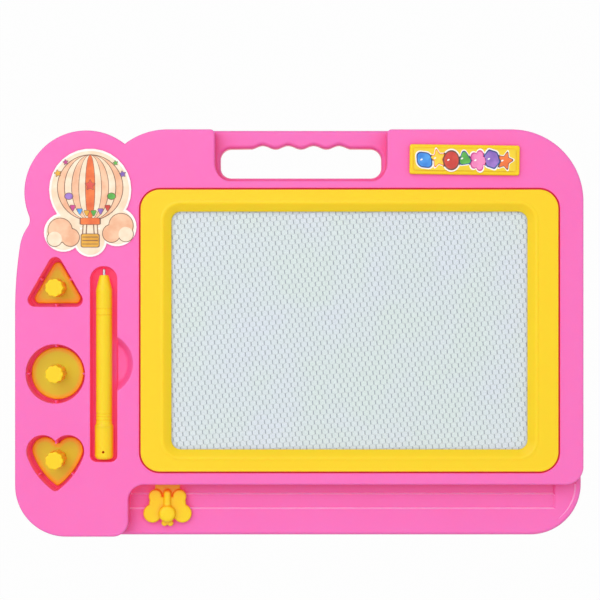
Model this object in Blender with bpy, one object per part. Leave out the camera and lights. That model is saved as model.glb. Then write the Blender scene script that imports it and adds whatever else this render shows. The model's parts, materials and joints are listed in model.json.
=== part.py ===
# Children's magnetic drawing board, lying flat with its screen up and its carrying handle at +Y.
# Metres, +Z up, origin at the centre of the underside.

import math

import bmesh
import bpy
from mathutils import Vector

mm = 0.001

# The case, in plan. The lobe's centre stands shoulder_height and flank_height above the shoulder's start and
# the flank's middle. The block's corner is centred block_inset right of halfway from the lobe to the bay.
board_width = 360 * mm
board_depth = 258 * mm
foot_corner_radius = 32.4 * mm
top_right_radius = 45.6 * mm
block_radius = 44.3 * mm
block_inset = 10.7 * mm
lobe_radius = 39.2 * mm
lobe_inset = 45.1 * mm
lobe_drop = 0.7 * mm
waist_radius = 7.6 * mm
shoulder_radius = 29 * mm
shoulder_height = 34.1 * mm
flank_radius = 268 * mm
flank_height = 74.5 * mm

# The case, in height
face_height = 20 * mm
lip_height = 9.5 * mm
wall = 2 * mm
face_rounding = 2.2 * mm
lip_rounding = 2.6 * mm
clearance = 0.3 * mm
overrun = 1 * mm
tuck = 0.1 * mm
least_edge = 0.03 * mm
merge_distance = 0.003 * mm

# The tray below the screen, where the eraser's knob slides
tray_depth = 32.9 * mm
panel_width = 71.8 * mm
panel_corner_radius = 10 * mm
ledge_corner_radius = 11.4 * mm
tray_near_band = 7.2 * mm
tray_far_band = 16.4 * mm
tray_step = 1 * mm
tray_end_margin = 15 * mm

# The handle: a lowered bar with a grip hole, whose upper side has finger waves
grip_width = 102.9 * mm
grip_shift = 1.1 * mm
grip_bar = 11.5 * mm
grip_opening = 18.9 * mm
grip_radius = 7 * mm
finger_wave_depth = 2.3 * mm
finger_wave_pitch = 16.3 * mm
finger_wave_count = 4
bay_margin = 3.1 * mm
bay_ledge = 0.8 * mm
bay_mouth_radius = 3 * mm
bay_inner_radius = 5 * mm

# The screen, its frame and its seat
bezel_left_margin = 79.6 * mm
bezel_right_margin = 16 * mm
bezel_top_margin = 38.2 * mm
ledge_strip = 8.4 * mm
bezel_side_rail = 19.4 * mm
bezel_end_rail = 13.9 * mm
bezel_radius = 12.3 * mm
bezel_opening_radius = 6 * mm
bezel_gap = 1 * mm
bezel_proud = 1 * mm
bezel_edge_rounding = 1.2 * mm
bezel_slope_width = 4.5 * mm
bezel_slope_angle = math.radians(34)
bezel_lip = 0.6 * mm
film_thickness = 0.3 * mm
core_thickness = 1.5 * mm
panel_overlap = 4.5 * mm
flange_thickness = 1.5 * mm
flange_overlap = 3.2 * mm
clip_width = 8 * mm
clip_thickness = 1.4 * mm
clip_hook = 1 * mm
clip_hook_height = 1.1 * mm
clip_setback = 2.4 * mm
clip_pitch_share = 0.25

# The eraser behind the screen
strip_width = 6 * mm
strip_thickness = 1.5 * mm
strip_overreach = 2 * mm
bar_wall = 1.6 * mm
bar_lip_height = 1.5 * mm
bar_catch = 2 * mm
bar_foot_thickness = 2.2 * mm
rail_thickness = 1.6 * mm
rail_overreach = 3 * mm
tongue_width = 15.8 * mm
tongue_thickness = 1.8 * mm
tongue_overlap = 13 * mm
slot_play = 0.6 * mm
joint_screw_radius = 1 * mm
joint_screw_head_radius = 2.2 * mm
joint_screw_head_height = 1.6 * mm
joint_screw_spacing = 9 * mm

# The eraser's knob, a butterfly
lower_wing_radius = 6 * mm
lower_wing_reach = 9.5 * mm
upper_wing_radius = 4.4 * mm
upper_wing_reach = 7.7 * mm
upper_wing_rise = 10.9 * mm
wing_thickness = 2.8 * mm
wing_rounding = 0.9 * mm
body_radius = 5.4 * mm
body_height = 6.4 * mm
body_rounding = 1.8 * mm
stem_width = 4.7 * mm
stem_height = 4.8 * mm
stem_rise = 15.1 * mm
nub_radius = 2 * mm
nub_reach = 1.9 * mm
nub_drop = 6.2 * mm
knob_edge_gap = 10.2 * mm

# The pen and its slot
pen_column_inset = 56.2 * mm
pen_length = 121 * mm
pen_radius = 5.15 * mm
pen_tail_radius = 5.85 * mm
pen_tail_length = 20.6 * mm
pen_flare_length = 2.4 * mm
pen_tail_rounding = 2.6 * mm
pen_nose_radius = 2.95 * mm
pen_nose_length = 9.1 * mm
pen_tip_radius = 1 * mm
pen_tip_length = 4.2 * mm
pen_tip_root = 4.5 * mm
pen_bore_radius = 3.4 * mm
pen_spigot_length = 9 * mm
pen_magnet_length = 8 * mm
pen_ring_depth = 0.3 * mm
pen_ring_width = 0.7 * mm
pen_nose_ring_offset = 11.7 * mm
pen_nose_ring_pitch = 4 * mm
pen_tail_ring_offset = 1.7 * mm
pen_tail_ring_pitch = 2 * mm
pen_sides = 20
string_hole_radius = 0.8 * mm
string_hole_inset = 4.9 * mm
pen_slot_width = 17.1 * mm
pen_slot_end_gap = 1.35 * mm
pen_slot_foot_radius = 4.1 * mm
pen_slot_depth = 9.5 * mm
pen_slot_inset = 47.5 * mm
dish_radius = 20.2 * mm
dish_shift = 1 * mm
dish_rise = 61.9 * mm
dish_depth = 6.5 * mm
dish_slope = 2.6 * mm

# The three stamps and their recesses
stamp_column_inset = 25.6 * mm
lowest_stamp_height = 48.6 * mm
stamp_pitch = 54.5 * mm
triangle_side = 41.2 * mm
triangle_corner_radius = 4.4 * mm
circle_radius = 18.7 * mm
heart_lobe_radius = 10.2 * mm
heart_lobe_offset = 8.05 * mm
heart_lobe_rise = 5.5 * mm
heart_tip_radius = 3 * mm
heart_tip_drop = 16.6 * mm
stamp_gap = 2 * mm
stamp_recess_depth = 15.4 * mm
stamp_plate_thickness = 2.2 * mm
stamp_plate_rounding = 0.8 * mm
stamp_magnet_thickness = 0.8 * mm
stamp_magnet_margin = 1.5 * mm
stamp_knob_radius = 5.4 * mm
stamp_knob_proud = 6.5 * mm
stamp_knob_rounding = 1 * mm
stamp_flute_depth = 0.45 * mm
stamp_flute_count = 10
rib_width = 1.4 * mm
rib_height = 13 * mm
circle_rib_count = 4

# The label plate and the two stickers
label_width = 69.6 * mm
label_height = 19 * mm
label_thickness = 2 * mm
label_corner_radius = 1.2 * mm
label_rounding = 0.5 * mm
label_right_inset = 75.5 * mm
label_top_inset = 19.5 * mm
label_tilt = math.radians(-0.8)
label_print_margin = 2.6 * mm
sticker_thickness = 0.3 * mm
sticker_radius = 26 * mm
sticker_gap = 11.2 * mm
sticker_shift = 2.7 * mm
cloud_radius = 12.3 * mm
cloud_reach = 17 * mm
cloud_drop = 27 * mm
basket_radius = 10.5 * mm
basket_drop = 32 * mm

# The screws that close the case
boss_radius = 3.3 * mm
pilot_radius = 1.6 * mm
screw_radius = 1.3 * mm
screw_head_radius = 2.8 * mm
screw_head_height = 1.6 * mm
screw_head_crown = 0.4 * mm
screw_reach = 5.5 * mm
screw_well_radius = 4.8 * mm
screw_well_height = 4 * mm
screw_well_depth = 2.4 * mm
lobe_boss_offset = 13 * mm
foot_boss_inset = 15 * mm
side_boss_inset = 30 * mm
corner_boss_inset = 27 * mm
top_boss_inset = 17 * mm
grip_boss_gap = 18 * mm
between_boss_inset = 30 * mm
tray_boss_inset = 11 * mm
tray_boss_end_gap = 32 * mm
tray_boss_count = 3

# How finely curves are stepped
arc_step = math.radians(12)
coarse_step = math.radians(30)
long_arc_step = math.radians(4)
finger_wave_steps = 6
flute_steps = 4
dish_steps = 14
cap_round_steps = 4
rounding_steps = 3
small_rounding_steps = 2
smooth_angle = math.radians(35)

# Places worked out from the sizes above
half_width = board_width / 2
half_depth = board_depth / 2
lobe_x = lobe_inset - half_width
lobe_y = half_depth - lobe_drop - lobe_radius
bay_left = grip_shift - grip_width / 2 - bay_margin
bay_right = grip_shift + grip_width / 2 + bay_margin
block_x = (lobe_x + bay_left) / 2 + block_inset
block_y = half_depth - block_radius
flank_y = lobe_y - flank_height
ledge_y = tray_depth - half_depth
panel_right = panel_width - half_width
under_face = face_height - wall
grip_top = half_depth - grip_bar
grip_bottom = grip_top - grip_opening

bezel_left = bezel_left_margin - half_width
bezel_right = half_width - bezel_right_margin
bezel_top = half_depth - bezel_top_margin
bezel_bottom = ledge_y + ledge_strip
window_x = (bezel_left + bezel_right) / 2
window_y = (bezel_bottom + bezel_top) / 2
bezel_width = bezel_right - bezel_left
bezel_depth = bezel_top - bezel_bottom
opening_width = bezel_width - 2 * bezel_side_rail
opening_depth = bezel_depth - 2 * bezel_end_rail
screen_width = opening_width + 2 * panel_overlap
screen_depth = opening_depth + 2 * panel_overlap
screen_corner_radius = bezel_opening_radius / 2

bezel_height = face_height + bezel_proud
bezel_inner_height = bezel_height - bezel_slope_width * math.tan(bezel_slope_angle)
lip_underside = bezel_inner_height - bezel_lip
front_film_bottom = lip_underside - clearance - film_thickness
core_bottom = front_film_bottom - clearance - core_thickness
back_film_bottom = core_bottom - clearance - film_thickness
flange_top = back_film_bottom - clearance
flange_bottom = flange_top - flange_thickness

near_band_height = lip_height - 2 * tray_step
far_band_height = lip_height - tray_step
tongue_bottom = far_band_height + clearance
tongue_top = tongue_bottom + tongue_thickness
strip_bottom = flange_bottom - clearance - strip_thickness
bar_floor_top = strip_bottom - clearance
bar_bottom = tongue_bottom
bar_half_width = strip_width / 2 + clearance + bar_wall
bar_top = bar_floor_top + bar_lip_height
rail_height = bar_bottom - clearance

eraser_x = window_x - opening_width / 2 - strip_width / 2
eraser_travel = opening_width + strip_width
strip_half_length = opening_depth / 2 + strip_overreach
bar_foot_y = window_y - strip_half_length - clearance - bar_wall
bar_head_y = window_y + strip_half_length + clearance + bar_wall
foot_rail_y = bar_foot_y + bar_wall + clearance + rail_thickness / 2
head_rail_y = bar_head_y - bar_catch - clearance - rail_thickness / 2
riser_inner_y = ledge_y + wall
bar_foot_bottom = tongue_bottom - clearance - bar_foot_thickness
knob_x = eraser_x
knob_y = ledge_y - knob_edge_gap - upper_wing_rise + upper_wing_radius / 2
knob_bottom = lip_height + clearance
joint_screw_y = (bar_foot_y - clearance + riser_inner_y + clearance) / 2

pen_x = pen_column_inset - half_width
pen_slot_floor = face_height - pen_slot_depth
pen_slot_length = pen_length + 2 * pen_slot_end_gap
pen_slot_bottom = pen_slot_inset - half_depth
pen_slot_top = pen_slot_bottom + pen_slot_length
pen_tail_y = pen_slot_bottom + pen_slot_end_gap
pen_z = pen_slot_floor + clearance + pen_tail_radius
dish_x = pen_x - dish_shift
dish_y = pen_slot_bottom + dish_rise
dish_floor = face_height - dish_depth

stamp_x = stamp_column_inset - half_width
heart_y = lowest_stamp_height - half_depth
circle_y = heart_y + stamp_pitch
triangle_y = circle_y + stamp_pitch
stamp_floor = face_height - stamp_recess_depth
stamp_magnet_bottom = stamp_floor + clearance
stamp_plate_bottom = stamp_magnet_bottom + stamp_magnet_thickness + clearance
stamp_plate_top = stamp_plate_bottom + stamp_plate_thickness
stamp_knob_top = face_height + stamp_knob_proud

label_x = half_width - label_right_inset
label_y = half_depth - label_top_inset
label_bottom = face_height + clearance
label_top = label_bottom + label_thickness
sticker_x = lobe_x + sticker_shift
sticker_y = pen_slot_top + sticker_gap + basket_drop + basket_radius / 2

boss_bottom = screw_well_height + clearance
screw_head_top = screw_well_depth - clearance
screw_tip = screw_head_top + screw_reach
pilot_top = screw_tip + clearance


# Outlines, as lists of points that run counter-clockwise
def stepped_arc(centre, radius, start, end, count):
    angles = [start + (end - start) * index / count for index in range(count + 1)]
    return [Vector((centre[0] + radius * math.cos(a), centre[1] + radius * math.sin(a))) for a in angles]


def arc(centre, radius, start, end, step=arc_step):
    return stepped_arc(centre, radius, start, end, max(2, math.ceil(abs(end - start) / step)))


def tidy(points):
    kept = []
    for point in points:
        if not kept or (point - kept[-1]).length > least_edge:
            kept.append(point)
    if (kept[0] - kept[-1]).length <= least_edge:
        kept.pop()
    return kept


def rounded(corners, step=arc_step):
    # Each corner is (x, y, radius). A corner of radius zero stays as it is.
    points = []
    for index, (x, y, radius) in enumerate(corners):
        corner = Vector((x, y))
        if radius == 0:
            points.append(corner)
            continue
        before = (Vector(corners[index - 1][:2]) - corner).normalized()
        after = (Vector(corners[(index + 1) % len(corners)][:2]) - corner).normalized()
        half_angle = before.angle(after) / 2
        reach = radius / math.tan(half_angle)
        centre = corner + (before + after).normalized() * (radius / math.sin(half_angle))
        first = corner + before * reach - centre
        last = corner + after * reach - centre
        start = math.atan2(first.y, first.x)
        turn = math.atan2(last.y, last.x) - start
        turn = (turn + math.pi) % math.tau - math.pi
        points += arc(centre, radius, start, start + turn, step)
    return tidy(points)


def grown(points, distance):
    # The outline moved outwards by the distance, or inwards where it is negative.
    moved = []
    for index, here in enumerate(points):
        coming = (here - points[index - 1]).normalized()
        going = (points[(index + 1) % len(points)] - here).normalized()
        side_in = Vector((coming.y, -coming.x))
        side_out = Vector((going.y, -going.x))
        middle = (side_in + side_out).normalized()
        moved.append(here + middle * (distance / middle.dot(side_in)))
    return moved


def rectangle(x, y, width, depth, radius, step=arc_step):
    right = x + width / 2
    top = y + depth / 2
    left = x - width / 2
    bottom = y - depth / 2
    corners = [(left, bottom, radius), (right, bottom, radius), (right, top, radius), (left, top, radius)]
    return rounded(corners, step)


def circle(x, y, radius, step=arc_step):
    return tidy(arc((x, y), radius, 0, math.tau, step))


def meeting_point(first, first_radius, second, second_radius, left):
    # Where two circles cross, on the left of the way from the first centre to the second or on its right.
    way = Vector(second) - Vector(first)
    distance = way.length
    along = (distance**2 + first_radius**2 - second_radius**2) / (2 * distance)
    aside = math.sqrt(first_radius**2 - along**2)
    way.normalize()
    across = Vector((-way.y, way.x)) * (aside if left else -aside)
    return Vector(first) + way * along + across


def angle_to(centre, point):
    return math.atan2(point[1] - centre[1], point[0] - centre[0])


def left_and_top_arcs():
    # From the main block's rounded corner over the lobe, its waist and the shoulder down the flank.
    block = (block_x, block_y)
    lobe = (lobe_x, lobe_y)
    notch = meeting_point(lobe, lobe_radius, block, block_radius, True)
    flank = (flank_radius - half_width, flank_y)
    shoulder_rise = math.asin((flank_height - shoulder_height) / flank_radius)
    shoulder_depth = flank_radius - shoulder_radius
    shoulder = (flank[0] - shoulder_depth * math.cos(shoulder_rise),
                flank[1] + shoulder_depth * math.sin(shoulder_rise))
    waist = meeting_point(lobe, lobe_radius + waist_radius, shoulder, shoulder_radius + waist_radius, False)
    to_lobe = angle_to(waist, lobe)
    to_shoulder = angle_to(waist, shoulder)
    points = arc(block, block_radius, math.pi / 2, angle_to(block, notch))
    points += arc(lobe, lobe_radius, angle_to(lobe, notch), angle_to(lobe, waist) % math.tau)
    points += arc(waist, waist_radius, to_lobe, to_shoulder)
    points += arc(shoulder, shoulder_radius, angle_to(shoulder, waist) % math.tau, math.pi - shoulder_rise)
    points += arc(flank, flank_radius, math.pi - shoulder_rise, math.pi, long_arc_step)
    return [(point.x, point.y, 0) for point in tidy(points)]


def case_outline():
    corners = [(-half_width, -half_depth, foot_corner_radius),
               (half_width, -half_depth, foot_corner_radius),
               (half_width, half_depth, top_right_radius)]
    return rounded(corners + left_and_top_arcs())


def face_outline():
    # The raised part of the case: all but the tray and the bay that the handle lies in.
    bay_bottom = grip_bottom - bay_ledge
    corners = [(-half_width, -half_depth, foot_corner_radius),
               (panel_right, -half_depth, panel_corner_radius),
               (panel_right, ledge_y, panel_corner_radius),
               (half_width, ledge_y, ledge_corner_radius),
               (half_width, half_depth, top_right_radius),
               (bay_right, half_depth, bay_mouth_radius),
               (bay_right, bay_bottom, bay_inner_radius),
               (bay_left, bay_bottom, bay_inner_radius),
               (bay_left, half_depth, bay_mouth_radius)]
    return rounded(corners + left_and_top_arcs())


def grip_outline():
    left = grip_shift - grip_width / 2
    right = grip_shift + grip_width / 2
    waves_width = finger_wave_pitch * finger_wave_count
    steps = finger_wave_steps * finger_wave_count
    waves = []
    for index in range(steps + 1):
        share = index / steps
        height = (1 - math.cos(math.tau * share * finger_wave_count)) / 2
        waves.append((grip_shift + waves_width * (0.5 - share), grip_top + finger_wave_depth * height, 0))
    lower = [(left, grip_bottom, grip_radius), (right, grip_bottom, grip_radius)]
    return rounded(lower + [(right, grip_top, grip_radius)] + waves + [(left, grip_top, grip_radius)])


def triangle_outline(growth=0.0):
    inner = triangle_side / (2 * math.sqrt(3)) + growth
    half_side = inner * math.sqrt(3)
    radius = triangle_corner_radius + growth
    corners = [(stamp_x - half_side, triangle_y - inner, radius),
               (stamp_x + half_side, triangle_y - inner, radius),
               (stamp_x, triangle_y + 2 * inner, radius)]
    return rounded(corners)


def circle_outline(growth=0.0):
    return circle(stamp_x, circle_y, circle_radius + growth)


def heart_lean():
    # The way that the heart's straight right side faces.
    way = Vector((-heart_lobe_offset, -heart_tip_drop - heart_lobe_rise))
    return math.acos((heart_lobe_radius - heart_tip_radius) / way.length) + math.atan2(way.y, way.x)


def heart_outline(growth=0.0):
    lobe_radius_here = heart_lobe_radius + growth
    right_lobe = (stamp_x + heart_lobe_offset, heart_y + heart_lobe_rise)
    left_lobe = (stamp_x - heart_lobe_offset, heart_y + heart_lobe_rise)
    tip = (stamp_x, heart_y - heart_tip_drop)
    lean = heart_lean()
    cleft = math.acos(-heart_lobe_offset / max(lobe_radius_here, heart_lobe_radius))
    points = arc(tip, heart_tip_radius + growth, -math.pi - lean, lean, coarse_step)
    points += arc(right_lobe, lobe_radius_here, lean, cleft)
    if growth < 0:
        notch = (stamp_x, right_lobe[1] + heart_lobe_radius * math.sin(cleft))
        points += arc(notch, -growth, cleft - math.pi, -cleft, coarse_step)
    points += arc(left_lobe, lobe_radius_here, math.pi - cleft, math.pi - lean)
    return tidy(points)


stamp_shapes = {"triangle": triangle_outline, "circle": circle_outline, "heart": heart_outline}


def fluted_outline(x, y):
    steps = flute_steps * stamp_flute_count
    points = []
    for index in range(steps):
        angle = math.tau * index / steps
        radius = stamp_knob_radius + stamp_flute_depth * math.cos(angle * stamp_flute_count)
        points.append(Vector((x + radius * math.cos(angle), y + radius * math.sin(angle))))
    return points


def pen_slot_outline():
    left = pen_x - pen_slot_width / 2
    right = pen_x + pen_slot_width / 2
    head_radius = pen_slot_width / 2 - clearance
    corners = [(left, pen_slot_bottom, pen_slot_foot_radius), (right, pen_slot_bottom, pen_slot_foot_radius),
               (right, pen_slot_top, head_radius), (left, pen_slot_top, head_radius)]
    return rounded(corners)


def dish_outline(radius):
    # The part of the finger dish that lies right of the pen's middle.
    reach = math.acos((pen_x - dish_x) / radius)
    return stepped_arc((dish_x, dish_y), radius, -reach, reach, dish_steps)


# Solids
for leftover in list(bpy.data.objects):
    bpy.data.objects.remove(leftover, do_unlink=True)

plastic_roughness = 0.35


def plain_material(name, colour, roughness=plastic_roughness, metallic=0.0, alpha=1.0):
    made = bpy.data.materials.new(name)
    made.use_nodes = True
    made.diffuse_color = (*colour, alpha)
    shader = made.node_tree.nodes["Principled BSDF"]
    shader.inputs["Base Color"].default_value = (*colour, 1)
    shader.inputs["Roughness"].default_value = roughness
    shader.inputs["Metallic"].default_value = metallic
    shader.inputs["Alpha"].default_value = alpha
    return made


pink_plastic = plain_material("pink_plastic", (0.97, 0.2, 0.54))
yellow_plastic = plain_material("yellow_plastic", (0.97, 0.67, 0.04))
white_honeycomb = plain_material("white_honeycomb", (0.66, 0.72, 0.74), 0.5)
clear_film = plain_material("clear_film", (0.8, 0.85, 0.87), 0.2, 0, 0.4)
milky_film = plain_material("milky_film", (0.7, 0.76, 0.78), 0.4)
magnet = plain_material("magnet", (0.03, 0.03, 0.03), 0.6)
steel = plain_material("steel", (0.6, 0.6, 0.6), 0.3, 1)
sticker_print = plain_material("sticker_print", (0.9, 0.85, 0.78), 0.3)


def finish(name, mesh_data, finish_material=None):
    bmesh.ops.recalc_face_normals(mesh_data, faces=mesh_data.faces)
    mesh = bpy.data.meshes.new(name)
    mesh_data.to_mesh(mesh)
    mesh_data.free()
    made = bpy.data.objects.new(name, mesh)
    bpy.context.scene.collection.objects.link(made)
    if finish_material:
        mesh.materials.append(finish_material)
        mesh.shade_smooth()
        mesh.set_sharp_from_angle(angle=smooth_angle)
    else:
        made.hide_render = True
        made.display_type = "WIRE"
    return made


def add_prism(mesh_data, outline, bottom, top, rounding=0.0, segments=rounding_steps):
    base = mesh_data.faces.new([mesh_data.verts.new((point[0], point[1], bottom)) for point in outline])
    raised = bmesh.ops.extrude_face_region(mesh_data, geom=[base])["geom"]
    corners = [item for item in raised if isinstance(item, bmesh.types.BMVert)]
    bmesh.ops.translate(mesh_data, verts=corners, vec=(0, 0, top - bottom))
    if rounding:
        rim = [item for item in raised if isinstance(item, bmesh.types.BMEdge)]
        bmesh.ops.bevel(mesh_data, geom=rim, offset=rounding, segments=segments, profile=0.5,
                        affect="EDGES", clamp_overlap=True)


def prism(name, outline, bottom, top, finish_material=None, rounding=0.0, segments=rounding_steps):
    mesh_data = bmesh.new()
    add_prism(mesh_data, outline, bottom, top, rounding, segments)
    return finish(name, mesh_data, finish_material)


def prisms(name, outlines, bottom, top, finish_material=None):
    # Prisms that lie clear of each other, as one object.
    mesh_data = bmesh.new()
    for outline in outlines:
        add_prism(mesh_data, outline, bottom, top)
    return finish(name, mesh_data, finish_material)


def add_block(mesh_data, low, high):
    outline = [(low[0], low[1]), (high[0], low[1]), (high[0], high[1]), (low[0], high[1])]
    add_prism(mesh_data, outline, low[2], high[2])


def block(name, low, high, finish_material=None):
    mesh_data = bmesh.new()
    add_block(mesh_data, low, high)
    return finish(name, mesh_data, finish_material)


def add_loops(mesh_data, loops, closed_ring):
    # A skin through loops of equally many points: a ring where the last loop meets the first, or capped ends.
    rows = [[mesh_data.verts.new(point) for point in loop] for loop in loops]
    pairs = list(zip(rows, rows[1:]))
    if closed_ring:
        pairs.append((rows[-1], rows[0]))
    for lower, upper in pairs:
        for index in range(len(lower)):
            mesh_data.faces.new((lower[index - 1], lower[index], upper[index], upper[index - 1]))
    if not closed_ring:
        mesh_data.faces.new(rows[0])
        mesh_data.faces.new(rows[-1])


def turned(name, profile, sides, finish_material=None):
    # The profile is (radius, height) points from one end to the other. Points on the axis close it.
    mesh_data = bmesh.new()
    corners = [mesh_data.verts.new((radius, 0, height)) for radius, height in profile]
    edges = [mesh_data.edges.new(pair) for pair in zip(corners, corners[1:])]
    if profile[0][0] or profile[-1][0]:
        edges.append(mesh_data.edges.new((corners[-1], corners[0])))
    bmesh.ops.spin(mesh_data, geom=corners + edges, cent=(0, 0, 0), axis=(0, 0, 1), angle=math.tau,
                   steps=sides, use_merge=True)
    bmesh.ops.remove_doubles(mesh_data, verts=mesh_data.verts, dist=merge_distance)
    return finish(name, mesh_data, finish_material)


def combine(target, other, operation):
    step = target.modifiers.new(other.name, "BOOLEAN")
    step.operation = operation
    step.solver = "EXACT"
    step.object = other


def cut(target, other):
    combine(target, other, "DIFFERENCE")


def join(target, other):
    combine(target, other, "UNION")


# Places that the case and its rear cover share
def between_boss_x():
    pen_side = pen_x + pen_slot_width / 2 + wall
    window_side = bezel_left - bezel_gap - wall
    return (pen_side + window_side) / 2


def right_boss_x():
    window_side = bezel_right + bezel_gap + wall
    case_side = half_width - wall
    return (window_side + case_side) / 2


def face_boss_places():
    grip_left = grip_shift - grip_width / 2
    grip_right = grip_shift + grip_width / 2
    top_y = half_depth - top_boss_inset
    return [(lobe_x - lobe_boss_offset, lobe_y + lobe_boss_offset),
            (side_boss_inset - half_width, foot_boss_inset - half_depth),
            (between_boss_x(), bezel_top - between_boss_inset),
            (between_boss_x(), bezel_bottom + between_boss_inset),
            (grip_left - grip_boss_gap, top_y),
            (grip_right + grip_boss_gap, top_y),
            (half_width - corner_boss_inset, half_depth - corner_boss_inset),
            (right_boss_x(), window_y)]


def tray_boss_places():
    left = panel_right + tray_boss_end_gap
    right = half_width - tray_boss_end_gap
    pitch = (right - left) / (tray_boss_count - 1)
    return [(left + pitch * index, tray_boss_inset - half_depth) for index in range(tray_boss_count)]


def clip_places():
    # Middle of each clip's outer face, the way it hooks, and whether it runs along X.
    left = bezel_left + clip_setback
    right = bezel_right - clip_setback
    top = bezel_top - clip_setback
    bottom = bezel_bottom + clip_setback
    pitch = bezel_width * clip_pitch_share
    places = [(left, window_y, -1, 0), (right, window_y, 1, 0)]
    for index in (-1, 0, 1):
        places.append((window_x + index * pitch, top, 0, 1))
        places.append((window_x + index * pitch, bottom, 0, -1))
    return places


def clip_box(place, outward, inward, along, bottom, top):
    # A box at a clip, grown outwards, inwards and along the frame from the clip's outer face.
    x, y, across_x, across_y = place
    if across_x:
        sides = sorted((x + across_x * outward, x - across_x * inward))
        return (sides[0], y - along, bottom), (sides[1], y + along, top)
    sides = sorted((y + across_y * outward, y - across_y * inward))
    return (x - along, sides[0], bottom), (x + along, sides[1], top)


def rib_ends():
    # Where each rib meets the wall of its recess, and the way it points, inwards.
    inner = triangle_side / (2 * math.sqrt(3))
    slope = math.pi / 6
    ribs = [((stamp_x, triangle_y - inner), math.pi / 2),
            ((stamp_x - inner * math.cos(slope), triangle_y + inner * math.sin(slope)), -slope),
            ((stamp_x + inner * math.cos(slope), triangle_y + inner * math.sin(slope)), math.pi + slope)]
    for index in range(circle_rib_count):
        angle = math.tau * index / circle_rib_count
        ribs.append(((stamp_x + circle_radius * math.cos(angle), circle_y + circle_radius * math.sin(angle)),
                     angle + math.pi))
    cleft = heart_lobe_rise + math.sqrt(heart_lobe_radius**2 - heart_lobe_offset**2)
    ribs.append(((stamp_x, heart_y + cleft), -math.pi / 2))
    tip = Vector((0, -heart_tip_drop))
    lobe = Vector((heart_lobe_offset, heart_lobe_rise))
    lean = heart_lean()
    outwards = Vector((math.cos(lean), math.sin(lean)))
    middle = (tip + outwards * heart_tip_radius + lobe + outwards * heart_lobe_radius) / 2
    ribs.append(((stamp_x + middle.x, heart_y + middle.y), math.pi + lean))
    ribs.append(((stamp_x - middle.x, heart_y + middle.y), -lean))
    return ribs


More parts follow.
